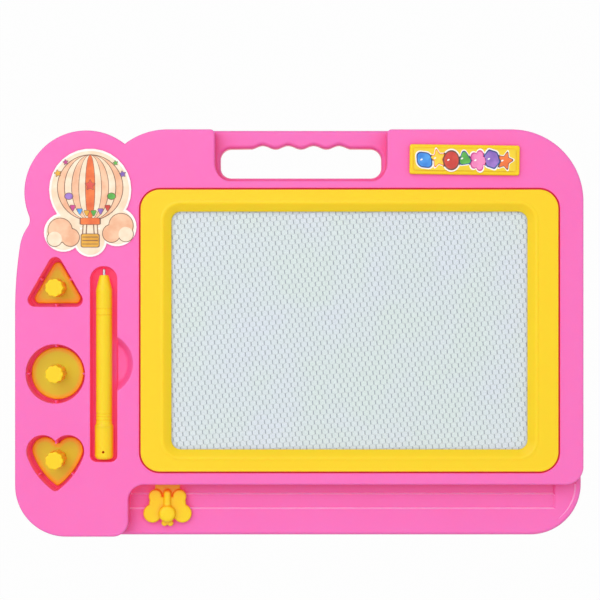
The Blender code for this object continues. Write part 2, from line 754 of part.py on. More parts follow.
def front_shell():
    # Tray level first, then the raised face, hollowed from below.
    shell = prism("front_shell", case_outline(), 0, lip_height, pink_plastic, lip_rounding)
    channel_left = panel_right - overrun
    channel_right = half_width - tray_end_margin
    under_ledge = ledge_y + overrun
    above_lip = lip_height + overrun
    cut(shell, block("tray_far_channel", (channel_left, ledge_y - tray_far_band, far_band_height),
                     (channel_right, under_ledge, above_lip)))
    cut(shell, block("tray_near_channel", (channel_left, ledge_y - tray_near_band, near_band_height),
                     (channel_right, under_ledge + overrun, above_lip + overrun)))
    join(shell, prism("raised_face", face_outline(), wall / 2, face_height, None, face_rounding))
    cut(shell, prism("face_hollow", grown(face_outline(), -wall), -overrun, under_face))

    # Under the tray and the handle, with a wall left round the grip hole.
    low_hollow = prism("low_hollow", grown(case_outline(), -wall), -2 * overrun, near_band_height - wall)
    cut(low_hollow, prism("grip_wall", grown(grip_outline(), wall), -3 * overrun, face_height))
    cut(shell, low_hollow)
    grip_left = grip_shift - grip_width / 2
    grip_right = grip_shift + grip_width / 2
    bar_low = grip_top + finger_wave_depth + wall
    cut(shell, block("grip_hollow", (grip_left, bar_low, -3 * overrun),
                     (grip_right, half_depth - wall, lip_height - wall)))

    # Cups for what the face holds, screw bosses, and the wall round the screen's seat.
    in_face = face_height - wall / 2
    for name, outline in stamp_shapes.items():
        join(shell, prism(f"{name}_cup", outline(wall), stamp_floor - wall, in_face))
    join(shell, prism("pen_cup", grown(pen_slot_outline(), wall), pen_slot_floor - wall, in_face))
    join(shell, prism("dish_cup", dish_outline(dish_radius + wall), dish_floor - wall, in_face))
    seat = rectangle(window_x, window_y, bezel_width + 2 * bezel_gap, bezel_depth + 2 * bezel_gap,
                     bezel_radius + bezel_gap)
    join(shell, prism("window_wall", grown(seat, wall), flange_bottom, in_face))
    join(shell, prisms("face_bosses", [circle(x, y, boss_radius, coarse_step) for x, y in face_boss_places()],
                       boss_bottom, in_face))
    join(shell, prisms("tray_bosses", [circle(x, y, boss_radius, coarse_step) for x, y in tray_boss_places()],
                       boss_bottom, lip_height - wall))

    # Recesses and openings.
    for name, outline in stamp_shapes.items():
        cut(shell, prism(f"{name}_recess", outline(), stamp_floor, face_height + overrun))
    cut(shell, prism("pen_slot", pen_slot_outline(), pen_slot_floor, face_height + overrun))
    dish = bmesh.new()
    slope_run = dish_slope / dish_depth * overrun
    low = [(point.x, point.y, dish_floor) for point in dish_outline(dish_radius - dish_slope)]
    high = [(point.x, point.y, face_height + overrun) for point in dish_outline(dish_radius + slope_run)]
    add_loops(dish, [low, high], False)
    cut(shell, finish("finger_dish", dish))
    cut(shell, prism("screen_seat", seat, flange_top, face_height + overrun))
    inner = rectangle(window_x, window_y, screen_width - 2 * flange_overlap,
                      screen_depth - 2 * flange_overlap, screen_corner_radius)
    cut(shell, prism("screen_window", inner, flange_bottom - overrun, flange_top + overrun))
    cut(shell, prism("grip_hole", grip_outline(), -4 * overrun, face_height + overrun))
    slot_left = knob_x - tongue_width / 2 - slot_play
    slot_right = knob_x + eraser_travel + tongue_width / 2 + slot_play
    cut(shell, block("eraser_slot", (slot_left, ledge_y - overrun, far_band_height),
                     (slot_right, riser_inner_y + overrun, tongue_top + clearance)))
    clip_slots = bmesh.new()
    for place in clip_places():
        low, high = clip_box(place, clip_hook + clearance, clip_thickness + clearance,
                             clip_width / 2 + clearance, flange_bottom - overrun, flange_top + overrun)
        add_block(clip_slots, low, high)
    cut(shell, finish("clip_slots", clip_slots))
    pilots = face_boss_places() + tray_boss_places()
    cut(shell, prisms("pilot_holes", [circle(x, y, pilot_radius, coarse_step) for x, y in pilots],
                      boss_bottom - overrun, pilot_top))

    # Ribs that keep each stamp in the middle of its recess.
    ribs = bmesh.new()
    rib_length = stamp_gap - clearance
    for (x, y), angle in rib_ends():
        forward = Vector((math.cos(angle), math.sin(angle)))
        aside = Vector((-forward.y, forward.x)) * (rib_width / 2)
        root = Vector((x, y)) - forward * (wall / 2)
        end = Vector((x, y)) + forward * rib_length
        add_prism(ribs, [root + aside, root - aside, end - aside, end + aside],
                  stamp_floor - wall / 2, stamp_floor + rib_height)
    join(shell, finish("stamp_ribs", ribs))
    return shell


def rear_cover():
    cover = prism("rear_cover", grown(case_outline(), -wall - clearance), 0, wall, pink_plastic)
    rails = bmesh.new()
    left = eraser_x - bar_half_width - rail_overreach
    right = eraser_x + eraser_travel + bar_half_width + rail_overreach
    half_rail = rail_thickness / 2
    for y in (foot_rail_y, head_rail_y):
        add_block(rails, (left, y - half_rail, wall / 2), (right, y + half_rail, rail_height))
    join(cover, finish("eraser_rails", rails))
    places = face_boss_places() + tray_boss_places()
    join(cover, prisms("screw_wells", [circle(x, y, screw_well_radius, coarse_step) for x, y in places],
                       wall / 2, screw_well_height))
    cut(cover, prism("cover_grip_hole", grown(grip_outline(), wall + clearance), -overrun, wall + overrun))
    heads = [circle(x, y, screw_head_radius + clearance, coarse_step) for x, y in places]
    cut(cover, prisms("head_holes", heads, -2 * overrun, screw_well_depth))
    shanks = [circle(x, y, screw_radius + clearance, coarse_step) for x, y in places]
    cut(cover, prisms("shank_holes", shanks, wall / 2, screw_well_height + overrun))
    return cover


def screw(name, head_radius, head_bottom, head_top, shank_radius, tip, crown=0.0):
    # A pan head at the bottom and a plain shank up to a short cone, round the axis X = Y = 0.
    head = circle(0, 0, head_radius, coarse_step)
    neck = circle(0, 0, shank_radius, coarse_step)
    loops = [[(p.x, p.y, head_bottom + crown) for p in head],
             [(p.x, p.y, head_top) for p in head],
             [(p.x, p.y, head_top) for p in neck],
             [(p.x, p.y, tip - shank_radius) for p in neck],
             [(p.x, p.y, tip) for p in circle(0, 0, shank_radius / 3, coarse_step)]]
    if crown:
        loops.insert(0, [(p.x, p.y, head_bottom) for p in grown(head, -crown)])
    mesh_data = bmesh.new()
    add_loops(mesh_data, loops, False)
    return finish(name, mesh_data, steel)


def set_of_screws(first, places):
    # The first screw and copies that share its mesh, numbered from 1.
    name = first.name
    screws = [first]
    for _ in places[1:]:
        copy = bpy.data.objects.new(name, first.data)
        bpy.context.scene.collection.objects.link(copy)
        screws.append(copy)
    for index, (piece, (x, y)) in enumerate(zip(screws, places), 1):
        piece.name = f"{name}_{index}"
        piece.location = (x, y, 0)
    return screws


def rear_screws():
    pan = screw("rear_screw", screw_head_radius, screw_head_top - screw_head_height, screw_head_top,
                screw_radius, screw_tip, screw_head_crown)
    return set_of_screws(pan, face_boss_places() + tray_boss_places())


def bezel_frame():
    # Rounded rectangles inset from the frame's outer edge, each at a height: up the outside, over the flat
    # top, down the slope to the opening, and back along the seat that covers the screen's rim.
    def ring(side_inset, end_inset, radius, height):
        outline = rectangle(window_x, window_y, bezel_width - 2 * side_inset, bezel_depth - 2 * end_inset,
                            radius)
        return [(point.x, point.y, height) for point in outline]

    seat_side = bezel_side_rail - panel_overlap - clearance
    seat_end = bezel_end_rail - panel_overlap - clearance
    slope_side = bezel_side_rail - bezel_slope_width
    slope_end = bezel_end_rail - bezel_slope_width
    slope_radius = bezel_opening_radius + bezel_slope_width / 2
    bottom = flange_top + clearance
    half_round = bezel_edge_rounding * (1 - math.sqrt(0.5))
    loops = [ring(0, 0, bezel_radius, bottom),
             ring(0, 0, bezel_radius, bezel_height - bezel_edge_rounding),
             ring(half_round, half_round, bezel_radius - half_round, bezel_height - half_round),
             ring(bezel_edge_rounding, bezel_edge_rounding, bezel_radius - bezel_edge_rounding, bezel_height),
             ring(slope_side, slope_end, slope_radius, bezel_height),
             ring(bezel_side_rail, bezel_end_rail, bezel_opening_radius, bezel_inner_height),
             ring(bezel_side_rail, bezel_end_rail, bezel_opening_radius, lip_underside),
             ring(seat_side, seat_end, screen_corner_radius + clearance, lip_underside),
             ring(seat_side, seat_end, screen_corner_radius + clearance, bottom)]
    mesh_data = bmesh.new()
    add_loops(mesh_data, loops, True)
    frame = finish("bezel_frame", mesh_data, yellow_plastic)
    stems = bmesh.new()
    hooks = bmesh.new()
    stem_bottom = flange_bottom - clearance - clip_hook_height
    for place in clip_places():
        low, high = clip_box(place, 0, clip_thickness, clip_width / 2, stem_bottom, bottom + overrun)
        add_block(stems, low, high)
        low, high = clip_box(place, clip_hook, clip_thickness / 2, clip_width / 2 - clearance,
                             stem_bottom + tuck, flange_bottom - clearance)
        add_block(hooks, low, high)
    join(frame, finish("clip_stems", stems))
    join(frame, finish("clip_hooks", hooks))
    return frame


def screen_panel():
    outline = rectangle(window_x, window_y, screen_width, screen_depth, screen_corner_radius)
    prism("screen_back_film", outline, back_film_bottom, back_film_bottom + film_thickness, milky_film)
    prism("honeycomb_core", outline, core_bottom, core_bottom + core_thickness, white_honeycomb)
    prism("screen_front_film", outline, front_film_bottom, front_film_bottom + film_thickness, clear_film)


def carried_by(parent, *pieces):
    for piece in pieces:
        piece.parent = parent
        piece.matrix_parent_inverse = parent.matrix_world.inverted()


def empty_at(name, x, y, z):
    made = bpy.data.objects.new(name, None)
    made.location = (x, y, z)
    bpy.context.scene.collection.objects.link(made)
    bpy.context.view_layer.update()
    return made


def joint_screw_places():
    half_spacing = joint_screw_spacing / 2
    return [(eraser_x - half_spacing, joint_screw_y), (eraser_x + half_spacing, joint_screw_y)]


def eraser_knob():
    # The butterfly and the flat tongue below it are one moulding.
    end = bar_foot_y - clearance
    knob = block("eraser_knob", (knob_x - tongue_width / 2, ledge_y - tongue_overlap, tongue_bottom),
                 (knob_x + tongue_width / 2, end, tongue_top), yellow_plastic)
    wings = {"left_lower_wing": (-lower_wing_reach, 0, lower_wing_radius),
             "right_lower_wing": (lower_wing_reach, 0, lower_wing_radius),
             "left_upper_wing": (-upper_wing_reach, upper_wing_rise, upper_wing_radius),
             "right_upper_wing": (upper_wing_reach, upper_wing_rise, upper_wing_radius),
             "left_nub": (-nub_reach, -nub_drop, nub_radius),
             "right_nub": (nub_reach, -nub_drop, nub_radius)}
    web_half = lower_wing_reach - wing_rounding
    join(knob, prism("wing_web", rectangle(knob_x, knob_y + upper_wing_rise / 2, 2 * web_half,
                                           upper_wing_rise + upper_wing_radius / 2, lower_wing_radius / 2,
                                           coarse_step),
                     knob_bottom, knob_bottom + wing_thickness - clearance))
    for name, (x, y, radius) in wings.items():
        outline = circle(knob_x + x, knob_y + y, radius, coarse_step)
        join(knob, prism(name, outline, knob_bottom, knob_bottom + wing_thickness, None, wing_rounding,
                         small_rounding_steps))
    stem = rectangle(knob_x, knob_y + stem_rise / 2, stem_width, stem_rise, stem_width / 2 - clearance,
                     coarse_step)
    join(knob, prism("stem", stem, knob_bottom, knob_bottom + stem_height, None, wing_rounding,
                         small_rounding_steps))
    body = circle(knob_x, knob_y, body_radius, coarse_step)
    join(knob, prism("body", body, knob_bottom, knob_bottom + body_height, None, body_rounding))
    cut(knob, prisms("tongue_holes", [circle(x, y, joint_screw_radius + clearance, coarse_step)
                                      for x, y in joint_screw_places()],
                     tongue_bottom - overrun, tongue_top + overrun))
    return knob


def eraser_bar():
    left = eraser_x - bar_half_width
    right = eraser_x + bar_half_width
    bar = block("eraser_bar", (left, bar_foot_y, bar_bottom), (right, bar_head_y, bar_top), yellow_plastic)
    foot_end = bar_foot_y + bar_wall
    join(bar, block("bar_foot", (eraser_x - tongue_width / 2, riser_inner_y + clearance, bar_foot_bottom),
                    (eraser_x + tongue_width / 2, foot_end, bar_foot_bottom + bar_foot_thickness)))
    join(bar, block("bar_riser", (left + clearance, bar_foot_y + clearance, bar_foot_bottom + clearance),
                    (right - clearance, foot_end - tuck, bar_bottom + clearance)))
    join(bar, block("bar_catch_lip", (left + clearance, bar_head_y - bar_catch, rail_height - bar_catch),
                    (right - clearance, bar_head_y - clearance, bar_bottom + clearance)))
    groove_half = strip_width / 2 + clearance
    cut(bar, block("strip_groove", (eraser_x - groove_half, bar_foot_y + bar_wall, bar_floor_top),
                   (eraser_x + groove_half, bar_head_y - bar_wall, bar_top + overrun)))
    cut(bar, prisms("foot_holes", [circle(x, y, joint_screw_radius + clearance, coarse_step)
                                   for x, y in joint_screw_places()],
                    bar_foot_bottom - overrun, tongue_bottom + overrun))
    return bar


def eraser_magnet_strip():
    half_strip = strip_width / 2
    low = (eraser_x - half_strip, window_y - strip_half_length, strip_bottom)
    high = (eraser_x + half_strip, window_y + strip_half_length, strip_bottom + strip_thickness)
    return block("eraser_magnet_strip", low, high, magnet)


def eraser_screws():
    head_top = bar_foot_bottom - clearance
    pan = screw("eraser_screw", joint_screw_head_radius, head_top - joint_screw_head_height, head_top,
                joint_screw_radius, tongue_top - clearance)
    return set_of_screws(pan, joint_screw_places())


def pen_profile_rings(offset, pitch, count, radius):
    # Fine grooves, as (radius, distance from the tip) points.
    points = []
    for index in range(count):
        start = offset + pitch * index
        points += [(radius, start), (radius - pen_ring_depth, start + pen_ring_width / 2),
                   (radius, start + pen_ring_width)]
    return points


def pen_pieces():
    # Turned about Z with the tip at the top, then laid along Y with the tip at +Y.
    nose_start = pen_tip_length
    nose_end = nose_start + pen_nose_length
    tail_start = pen_length - pen_tail_length - pen_flare_length
    cap_start = pen_length - pen_tail_length
    tip_bore = pen_tip_radius + clearance
    bore_start = nose_start + pen_tip_root + 2 * clearance
    first_rings = pen_profile_rings(nose_end + pen_nose_ring_offset, pen_nose_ring_pitch, 2, pen_radius)
    last_offset = tail_start - pen_tail_ring_offset - 2 * pen_tail_ring_pitch - pen_ring_width
    last_rings = pen_profile_rings(last_offset, pen_tail_ring_pitch, 3, pen_radius)
    profile = [(tip_bore, nose_start), (pen_nose_radius, nose_start), (pen_radius, nose_end)]
    profile += first_rings + last_rings
    profile += [(pen_radius, tail_start), (pen_tail_radius, cap_start - clearance),
                (pen_bore_radius, cap_start - clearance), (pen_bore_radius, bore_start + pen_bore_radius),
                (tip_bore, bore_start)]
    barrel = turned("pen_barrel", [(radius, -along) for radius, along in profile], pen_sides, yellow_plastic)

    pin_start = pen_tip_radius / 2
    pin_end = nose_start + pen_tip_root
    pin = [(0, 0), (pen_tip_radius - pin_start / 2, pin_start / 3), (pen_tip_radius, pin_start),
           (pen_tip_radius, pin_end), (0, pin_end)]
    tip = turned("pen_tip_pin", [(radius, -along) for radius, along in pin], pen_sides // 2, steel)

    magnet_start = bore_start + pen_bore_radius + clearance
    magnet_radius = pen_bore_radius - clearance
    magnet_end = magnet_start + pen_magnet_length
    slug = [(0, magnet_start), (magnet_radius, magnet_start), (magnet_radius, magnet_end), (0, magnet_end)]
    tip_magnet = turned("pen_magnet", [(radius, -along) for radius, along in slug], pen_sides // 2, magnet)

    spigot = pen_bore_radius - clearance
    end = pen_length
    turns = [math.pi / 2 * index / cap_round_steps for index in range(cap_round_steps + 1)]
    cap = [(0, cap_start - pen_spigot_length), (spigot, cap_start - pen_spigot_length), (spigot, cap_start),
           (pen_tail_radius, cap_start)]
    cap += [(pen_tail_radius - pen_tail_rounding * (1 - math.cos(angle)),
             end - pen_tail_rounding * (1 - math.sin(angle))) for angle in turns]
    cap.append((0, end))
    tail = turned("pen_tail_cap", [(radius, -along) for radius, along in cap], pen_sides, yellow_plastic)

    tip_y = pen_tail_y + pen_length
    carrier = empty_at("pen_lift_axis", pen_x, tip_y, pen_z)
    for piece in (barrel, tip, tip_magnet, tail):
        piece.parent = carrier
        piece.rotation_euler = (-math.pi / 2, 0, 0)
    hole = circle(pen_x, pen_tail_y + string_hole_inset, string_hole_radius, coarse_step)
    cut(tail, prism("string_hole", hole, pen_z - 2 * pen_tail_radius, pen_z + 2 * pen_tail_radius))


def stamp(name, outline, y):
    # A plate with a tall fluted grip, and a thin magnet sheet glued under it.
    plate = prism(f"{name}_stamp", outline(-stamp_gap), stamp_plate_bottom, stamp_plate_top, yellow_plastic,
                  stamp_plate_rounding, small_rounding_steps)
    in_plate = stamp_plate_bottom + stamp_plate_thickness / 2
    join(plate, prism(f"{name}_grip", fluted_outline(stamp_x, y), in_plate, stamp_knob_top, None,
                      stamp_knob_rounding, small_rounding_steps))
    sheet = prism(f"{name}_stamp_magnet", outline(-stamp_gap - stamp_magnet_margin), stamp_magnet_bottom,
                  stamp_magnet_bottom + stamp_magnet_thickness, magnet)
    carrier = empty_at(f"{name}_lift_axis", stamp_x, y, stamp_plate_bottom)
    carried_by(carrier, plate, sheet)


def label():
    outline = rectangle(0, 0, label_width, label_height, label_corner_radius, coarse_step)
    plate = prism("label_plate", outline, label_bottom, label_top, yellow_plastic, label_rounding,
                  small_rounding_steps)
    print_width = label_width - 2 * label_print_margin
    print_height = label_height - 2 * label_print_margin
    print_bottom = label_top + clearance
    outline = rectangle(0, 0, print_width, print_height, label_corner_radius, coarse_step)
    printed = prism("label_sticker", outline, print_bottom, print_bottom + sticker_thickness, sticker_print)
    for piece in (plate, printed):
        piece.location = (label_x, label_y, 0)
        piece.rotation_euler = (0, 0, label_tilt)


def picture_sticker():
    # A die-cut sticker: a round balloon over a basket, with a cloud on either side.
    bottom = face_height + clearance
    top = bottom + sticker_thickness
    disc = circle(sticker_x, sticker_y, sticker_radius)
    sticker = prism("picture_sticker", disc, bottom, top, sticker_print)
    lumps = {"basket_lump": (0, -basket_drop, basket_radius),
             "left_cloud_lump": (-cloud_reach, -cloud_drop, cloud_radius),
             "right_cloud_lump": (cloud_reach, -cloud_drop + basket_radius / 3, cloud_radius)}
    for name, (x, y, radius) in lumps.items():
        join(sticker, prism(name, circle(sticker_x + x, sticker_y + y, radius), bottom, top))
    return sticker


front_shell()
rear_cover()
rear_screws()
bezel_frame()
screen_panel()
eraser_axis = empty_at("eraser_slide_axis", eraser_x, knob_y, tongue_bottom)
carried_by(eraser_axis, eraser_knob(), eraser_bar(), eraser_magnet_strip(), *eraser_screws())
pen_pieces()
stamp_centres = {"triangle": triangle_y, "circle": circle_y, "heart": heart_y}
for stamp_name, stamp_shape in stamp_shapes.items():
    stamp(stamp_name, stamp_shape, stamp_centres[stamp_name])
label()
picture_sticker()
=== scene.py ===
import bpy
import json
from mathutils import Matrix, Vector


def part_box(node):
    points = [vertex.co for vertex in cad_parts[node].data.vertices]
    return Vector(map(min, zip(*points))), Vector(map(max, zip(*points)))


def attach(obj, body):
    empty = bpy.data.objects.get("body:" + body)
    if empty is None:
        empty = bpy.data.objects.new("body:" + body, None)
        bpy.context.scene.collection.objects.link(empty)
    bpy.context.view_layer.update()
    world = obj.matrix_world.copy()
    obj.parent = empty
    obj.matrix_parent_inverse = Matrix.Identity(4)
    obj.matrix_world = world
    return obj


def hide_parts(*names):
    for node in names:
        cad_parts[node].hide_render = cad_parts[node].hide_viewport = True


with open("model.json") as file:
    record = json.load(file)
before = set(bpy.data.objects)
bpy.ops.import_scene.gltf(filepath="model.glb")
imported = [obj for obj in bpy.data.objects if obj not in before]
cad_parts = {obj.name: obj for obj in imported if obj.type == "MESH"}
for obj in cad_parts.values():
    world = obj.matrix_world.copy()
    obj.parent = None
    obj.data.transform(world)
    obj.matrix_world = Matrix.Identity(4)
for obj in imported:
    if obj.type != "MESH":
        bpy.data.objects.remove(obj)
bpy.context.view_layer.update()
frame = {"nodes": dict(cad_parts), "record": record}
print("frame loaded:", len(frame["nodes"]), "nodes")

import json
from functools import partial
from math import acos, asin, atan2, ceil, cos, degrees, pi, radians, sin, sqrt, tan, tau

import bmesh
import bpy
from mathutils import Matrix, Vector

ops = bmesh.ops
scene = bpy.context.scene
mm = 0.001
quarter = pi / 2
weld = 0.004            # points closer than this, in mm, are one point
reach = 1.0             # how far a cutter runs past what it cuts
hair = 0.02             # a rise in mm that isn't seen


class Values(dict):
    # sizes or looks of one piece, read as attributes
    __getattr__ = dict.__getitem__


def boxOf(node):
    low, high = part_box(node)
    return low / mm, high / mm


def middleOf(node):
    low, high = boxOf(node)
    return (low + high) / 2


# Outlines are lists of strokes (x, y, radius, start angle, turn). A hollow bend turns the other way.
def cornerStroke(before, corner, after):
    here = Vector(corner[:2])
    back = (Vector(before[:2]) - here).normalized()
    onward = (Vector(after[:2]) - here).normalized()
    halfAngle = back.angle(onward) / 2
    radius = corner[2]
    centre = here + (back + onward).normalized() * (radius / sin(halfAngle))
    first = here + back * (radius / tan(halfAngle)) - centre
    last = here + onward * (radius / tan(halfAngle)) - centre
    return (centre.x, centre.y, radius, first.angle_signed(Vector((1, 0))), last.angle_signed(first))


def roundedStrokes(corners, before=None, after=None):
    around = [before or corners[-1], *corners, after or corners[0]]
    return [cornerStroke(*trio) for trio in zip(around, around[1:], around[2:])]


def rectangleStrokes(low, high, radius, inset=(0, 0)):
    left, bottom, right, top = low[0] + inset[0], low[1] + inset[1], high[0] - inset[0], high[1] - inset[1]
    return roundedStrokes([(left, bottom, radius), (right, bottom, radius), (right, top, radius),
            (left, top, radius)])


def barStrokes(halfWidth, halfDepth, radius):
    return rectangleStrokes((-halfWidth, -halfDepth), (halfWidth, halfDepth), radius)


def circleStrokes(x, y, radius):
    return [(x, y, radius, 0, tau)]


def discStrokes(radius):
    return circleStrokes(0, 0, radius)


def lobedStrokes(x, y, centre, bulge, count):
    # round lobes that stop just short of the valleys they meet in
    half, short = pi / count, 0.01
    valley = centre * cos(half) + sqrt(bulge ** 2 - (centre * sin(half)) ** 2)
    spread = atan2(valley * sin(half), valley * cos(half) - centre) - short
    return [(x + centre * cos(2 * half * index), y + centre * sin(2 * half * index), bulge,
            2 * half * index - spread, 2 * spread) for index in range(count)]


def grown(strokes, by):
    # strokes, or a function that gives them for a growth
    if callable(strokes):
        return strokes(by)
    return [(x, y, radius + by if turn > 0 else radius - by, start, turn)
            for x, y, radius, start, turn in strokes]


def vertsOf(items):
    return [item for item in items if isinstance(item, bmesh.types.BMVert)]


def sweepStroke(bm, stroke, height, stepDegrees):
    x, y, radius, start, turn = stroke
    first = bm.verts.new((x + radius * cos(start), y + radius * sin(start), height))
    if radius < weld or not turn:
        return first, first
    steps = 4 * max(2, ceil(abs(degrees(turn)) / (4 * stepDegrees)))
    swept = ops.spin(bm, geom=[first], cent=(x, y, height), axis=(0, 0, 1), angle=turn, steps=steps)
    return first, vertsOf(swept["geom_last"])[0]


def drawLoop(bm, strokes, height, stepDegrees=3):
    known = set(bm.verts)
    ends = [sweepStroke(bm, stroke, height, stepDegrees) for stroke in strokes]
    for (_, last), (first, _) in zip(ends, ends[1:] + ends[:1]):
        bm.edges.new((last, first))
    fresh = [vert for vert in bm.verts if vert not in known]
    ops.remove_doubles(bm, verts=fresh, dist=weld)
    fresh = [vert for vert in bm.verts if vert not in known]
    return list({edge for vert in fresh for edge in vert.link_edges})


def stack(levels, stepDegrees=3, shades=()):
    # A capped skin through (outline, height) loops. Shades go to the corners of each loop.
    # Neighbouring loops never lie at one height, as a bridge between two such loops twists.
    bm = bmesh.new()
    loops = [drawLoop(bm, strokes, height, stepDegrees) for strokes, height in levels]
    for lower, upper in zip(loops, loops[1:]):
        ops.bridge_loops(bm, edges=lower + upper)
    ops.contextual_create(bm, geom=loops[0])
    ops.contextual_create(bm, geom=loops[-1])
    ops.recalc_face_normals(bm, faces=bm.faces)
    if shades:
        layer = bm.loops.layers.float_color.new("backing")
        for edges, shade in zip(loops, shades):
            for corner in {corner for edge in edges for vert in edge.verts for corner in vert.link_loops}:
                corner[layer] = (shade, shade, shade, 1)
    return bm


def quarterTurns(steps):
    return [quarter * index / steps for index in range(steps + 1)]


def eased(strokes, top, radius, steps=6):
    # Loops that round an upright wall over to a level top. A negative radius flares the mouth of a cutter.
    return [(grown(strokes, -radius * (1 - cos(turn))), top - abs(radius) * (1 - sin(turn)))
            for turn in quarterTurns(steps)]


def footed(strokes, bottom, radius):
    # loops that round a level bottom up into an upright wall
    return [(grown(strokes, -radius * (1 - sin(turn))), bottom + radius * (1 - cos(turn)))
            for turn in quarterTurns(4)]


def grownLoops(strokes, places):
    # loops of one outline, from (growth, height) places
    return [(grown(strokes, growth), height) for growth, height in places]


def softened(outline, size, middle):
    # loops that take the sharpness off a lower edge
    return grownLoops(outline, [(-size, 0), (-middle, middle), (0, size)])


def prism(strokes, bottom, top, rounding=0, steps=6, stepDegrees=3):
    upper = eased(strokes, top, rounding, steps) if rounding else [(strokes, top)]
    return stack([(strokes, bottom), *upper], stepDegrees)


def recess(strokes, floor, top, rim, foot=0):
    # a cutter with a rounded foot and a mouth that flares into a rounded rim
    lower = footed(strokes, floor, foot) if foot else [(grown(strokes, 0), floor)]
    return stack([*lower, *eased(strokes, top, -rim), (grown(strokes, rim), top + reach)])


def box(low, high):
    bm = bmesh.new()
    ops.create_cube(bm, size=1)
    ops.scale(bm, vec=[b - a for a, b in zip(low, high)], verts=bm.verts)
    ops.translate(bm, vec=[(a + b) / 2 for a, b in zip(low, high)], verts=bm.verts)
    return bm


def gathered(parts):
    bm = bmesh.new()
    for part in parts:
        mesh = bpy.data.meshes.new("part")
        part.to_mesh(mesh)
        part.free()
        bm.from_mesh(mesh)
        bpy.data.meshes.remove(mesh)
    return bm


def asObject(bm, name="tool"):
    mesh = bpy.data.meshes.new(name)
    bm.to_mesh(mesh)
    bm.free()
    made = bpy.data.objects.new(name, mesh)
    scene.collection.objects.link(made)
    return made


def evaluated(target, helpers=()):
    made = bmesh.new()
    made.from_object(target, bpy.context.evaluated_depsgraph_get())
    for used in (target, *helpers):
        bpy.data.objects.remove(used)
    return made


join, cut = "UNION", "DIFFERENCE"


def combined(body, *tools):
    # tools are (join or cut, bmesh), worked one after the other
    target = asObject(body)
    helpers = [asObject(tool) for _, tool in tools]
    for (operation, _), helper in zip(tools, helpers):
        step = target.modifiers.new("step", "BOOLEAN")
        step.operation, step.solver, step.object = operation, "EXACT", helper
    return evaluated(target, helpers)


def turned(profile, axis, steps=96):
    # a (radius, along) profile spun round the axis through the origin
    bm = bmesh.new()
    side = Vector((1, 0, 0))
    verts = [bm.verts.new(side * radius + Vector(axis) * along) for radius, along in profile]
    edges = [bm.edges.new(pair) for pair in zip(verts, verts[1:])]
    ops.spin(bm, geom=verts + edges, cent=(0, 0, 0), axis=axis, angle=tau, steps=steps, use_merge=True)
    ops.remove_doubles(bm, verts=bm.verts, dist=weld)
    ops.recalc_face_normals(bm, faces=bm.faces)
    return bm


def moved(bm, x, y, z=0, angle=0):
    ops.rotate(bm, cent=(0, 0, 0), matrix=Matrix.Rotation(angle, 3, "Z"), verts=bm.verts)
    ops.translate(bm, vec=(x, y, z), verts=bm.verts)
    return bm


def sliced(bm, place, way):
    # what lies beyond an upright plane goes, and the edges of the cut come back
    made = ops.bisect_plane(bm, geom=bm.verts[:] + bm.edges[:] + bm.faces[:], plane_co=(*place, 0),
            plane_no=(*way, 0), clear_outer=True)["geom_cut"]
    return [item for item in made if isinstance(item, bmesh.types.BMEdge)]


def painted(bm, index):
    for face in bm.faces:
        face.material_index = index
    return bm


def finishPiece(name, bm, body, finishes, replacing=(), sharpDegrees=32):
    ops.remove_doubles(bm, verts=bm.verts, dist=weld)
    ops.scale(bm, vec=(mm, mm, mm), verts=bm.verts)
    mesh = bpy.data.meshes.new(name)
    bm.to_mesh(mesh)
    bm.free()
    for finish in finishes:
        mesh.materials.append(finish)
    mesh.shade_smooth()
    mesh.set_sharp_from_angle(angle=radians(sharpDegrees))
    piece = bpy.data.objects.new(name, mesh)
    scene.collection.objects.link(piece)
    shading = piece.modifiers.new("even_shading", "WEIGHTED_NORMAL")
    shading.keep_sharp = True
    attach(piece, body)
    if replacing:
        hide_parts(*replacing)
    print(name, len(mesh.polygons), "faces")


# Finishes
def toLinear(hexColour):
    channels = [int(hexColour[i:i + 2], 16) / 255 for i in (0, 2, 4)]
    linear = [c / 12.92 if c <= 0.04045 else ((c + 0.055) / 1.055) ** 2.4 for c in channels]
    return (*linear, 1)


def feed(node, inputs):
    # A socket, or a node's first output, is linked. A hex colour is turned linear, and other values are set.
    for name, value in inputs.items():
        if isinstance(value, bpy.types.Node):
            value = value.outputs[0]
        if isinstance(value, bpy.types.NodeSocket):
            node.id_data.links.new(value, node.inputs[name])
        else:
            node.inputs[name].default_value = toLinear(value) if isinstance(value, str) else value


def addNode(tree, kind, inputs, **settings):
    node = tree.nodes.new("ShaderNode" + kind)
    for name, value in settings.items():
        setattr(node, name, value)
    feed(node, inputs)
    return node


def newMaterial(name):
    made = bpy.data.materials.new(name)
    made.use_nodes = True
    add = partial(addNode, made.node_tree)
    return made, add, made.node_tree.nodes["Principled BSDF"], add("TexCoord", {}).outputs["Object"]


def perMillimetre(size):
    return 1 / (size * mm)


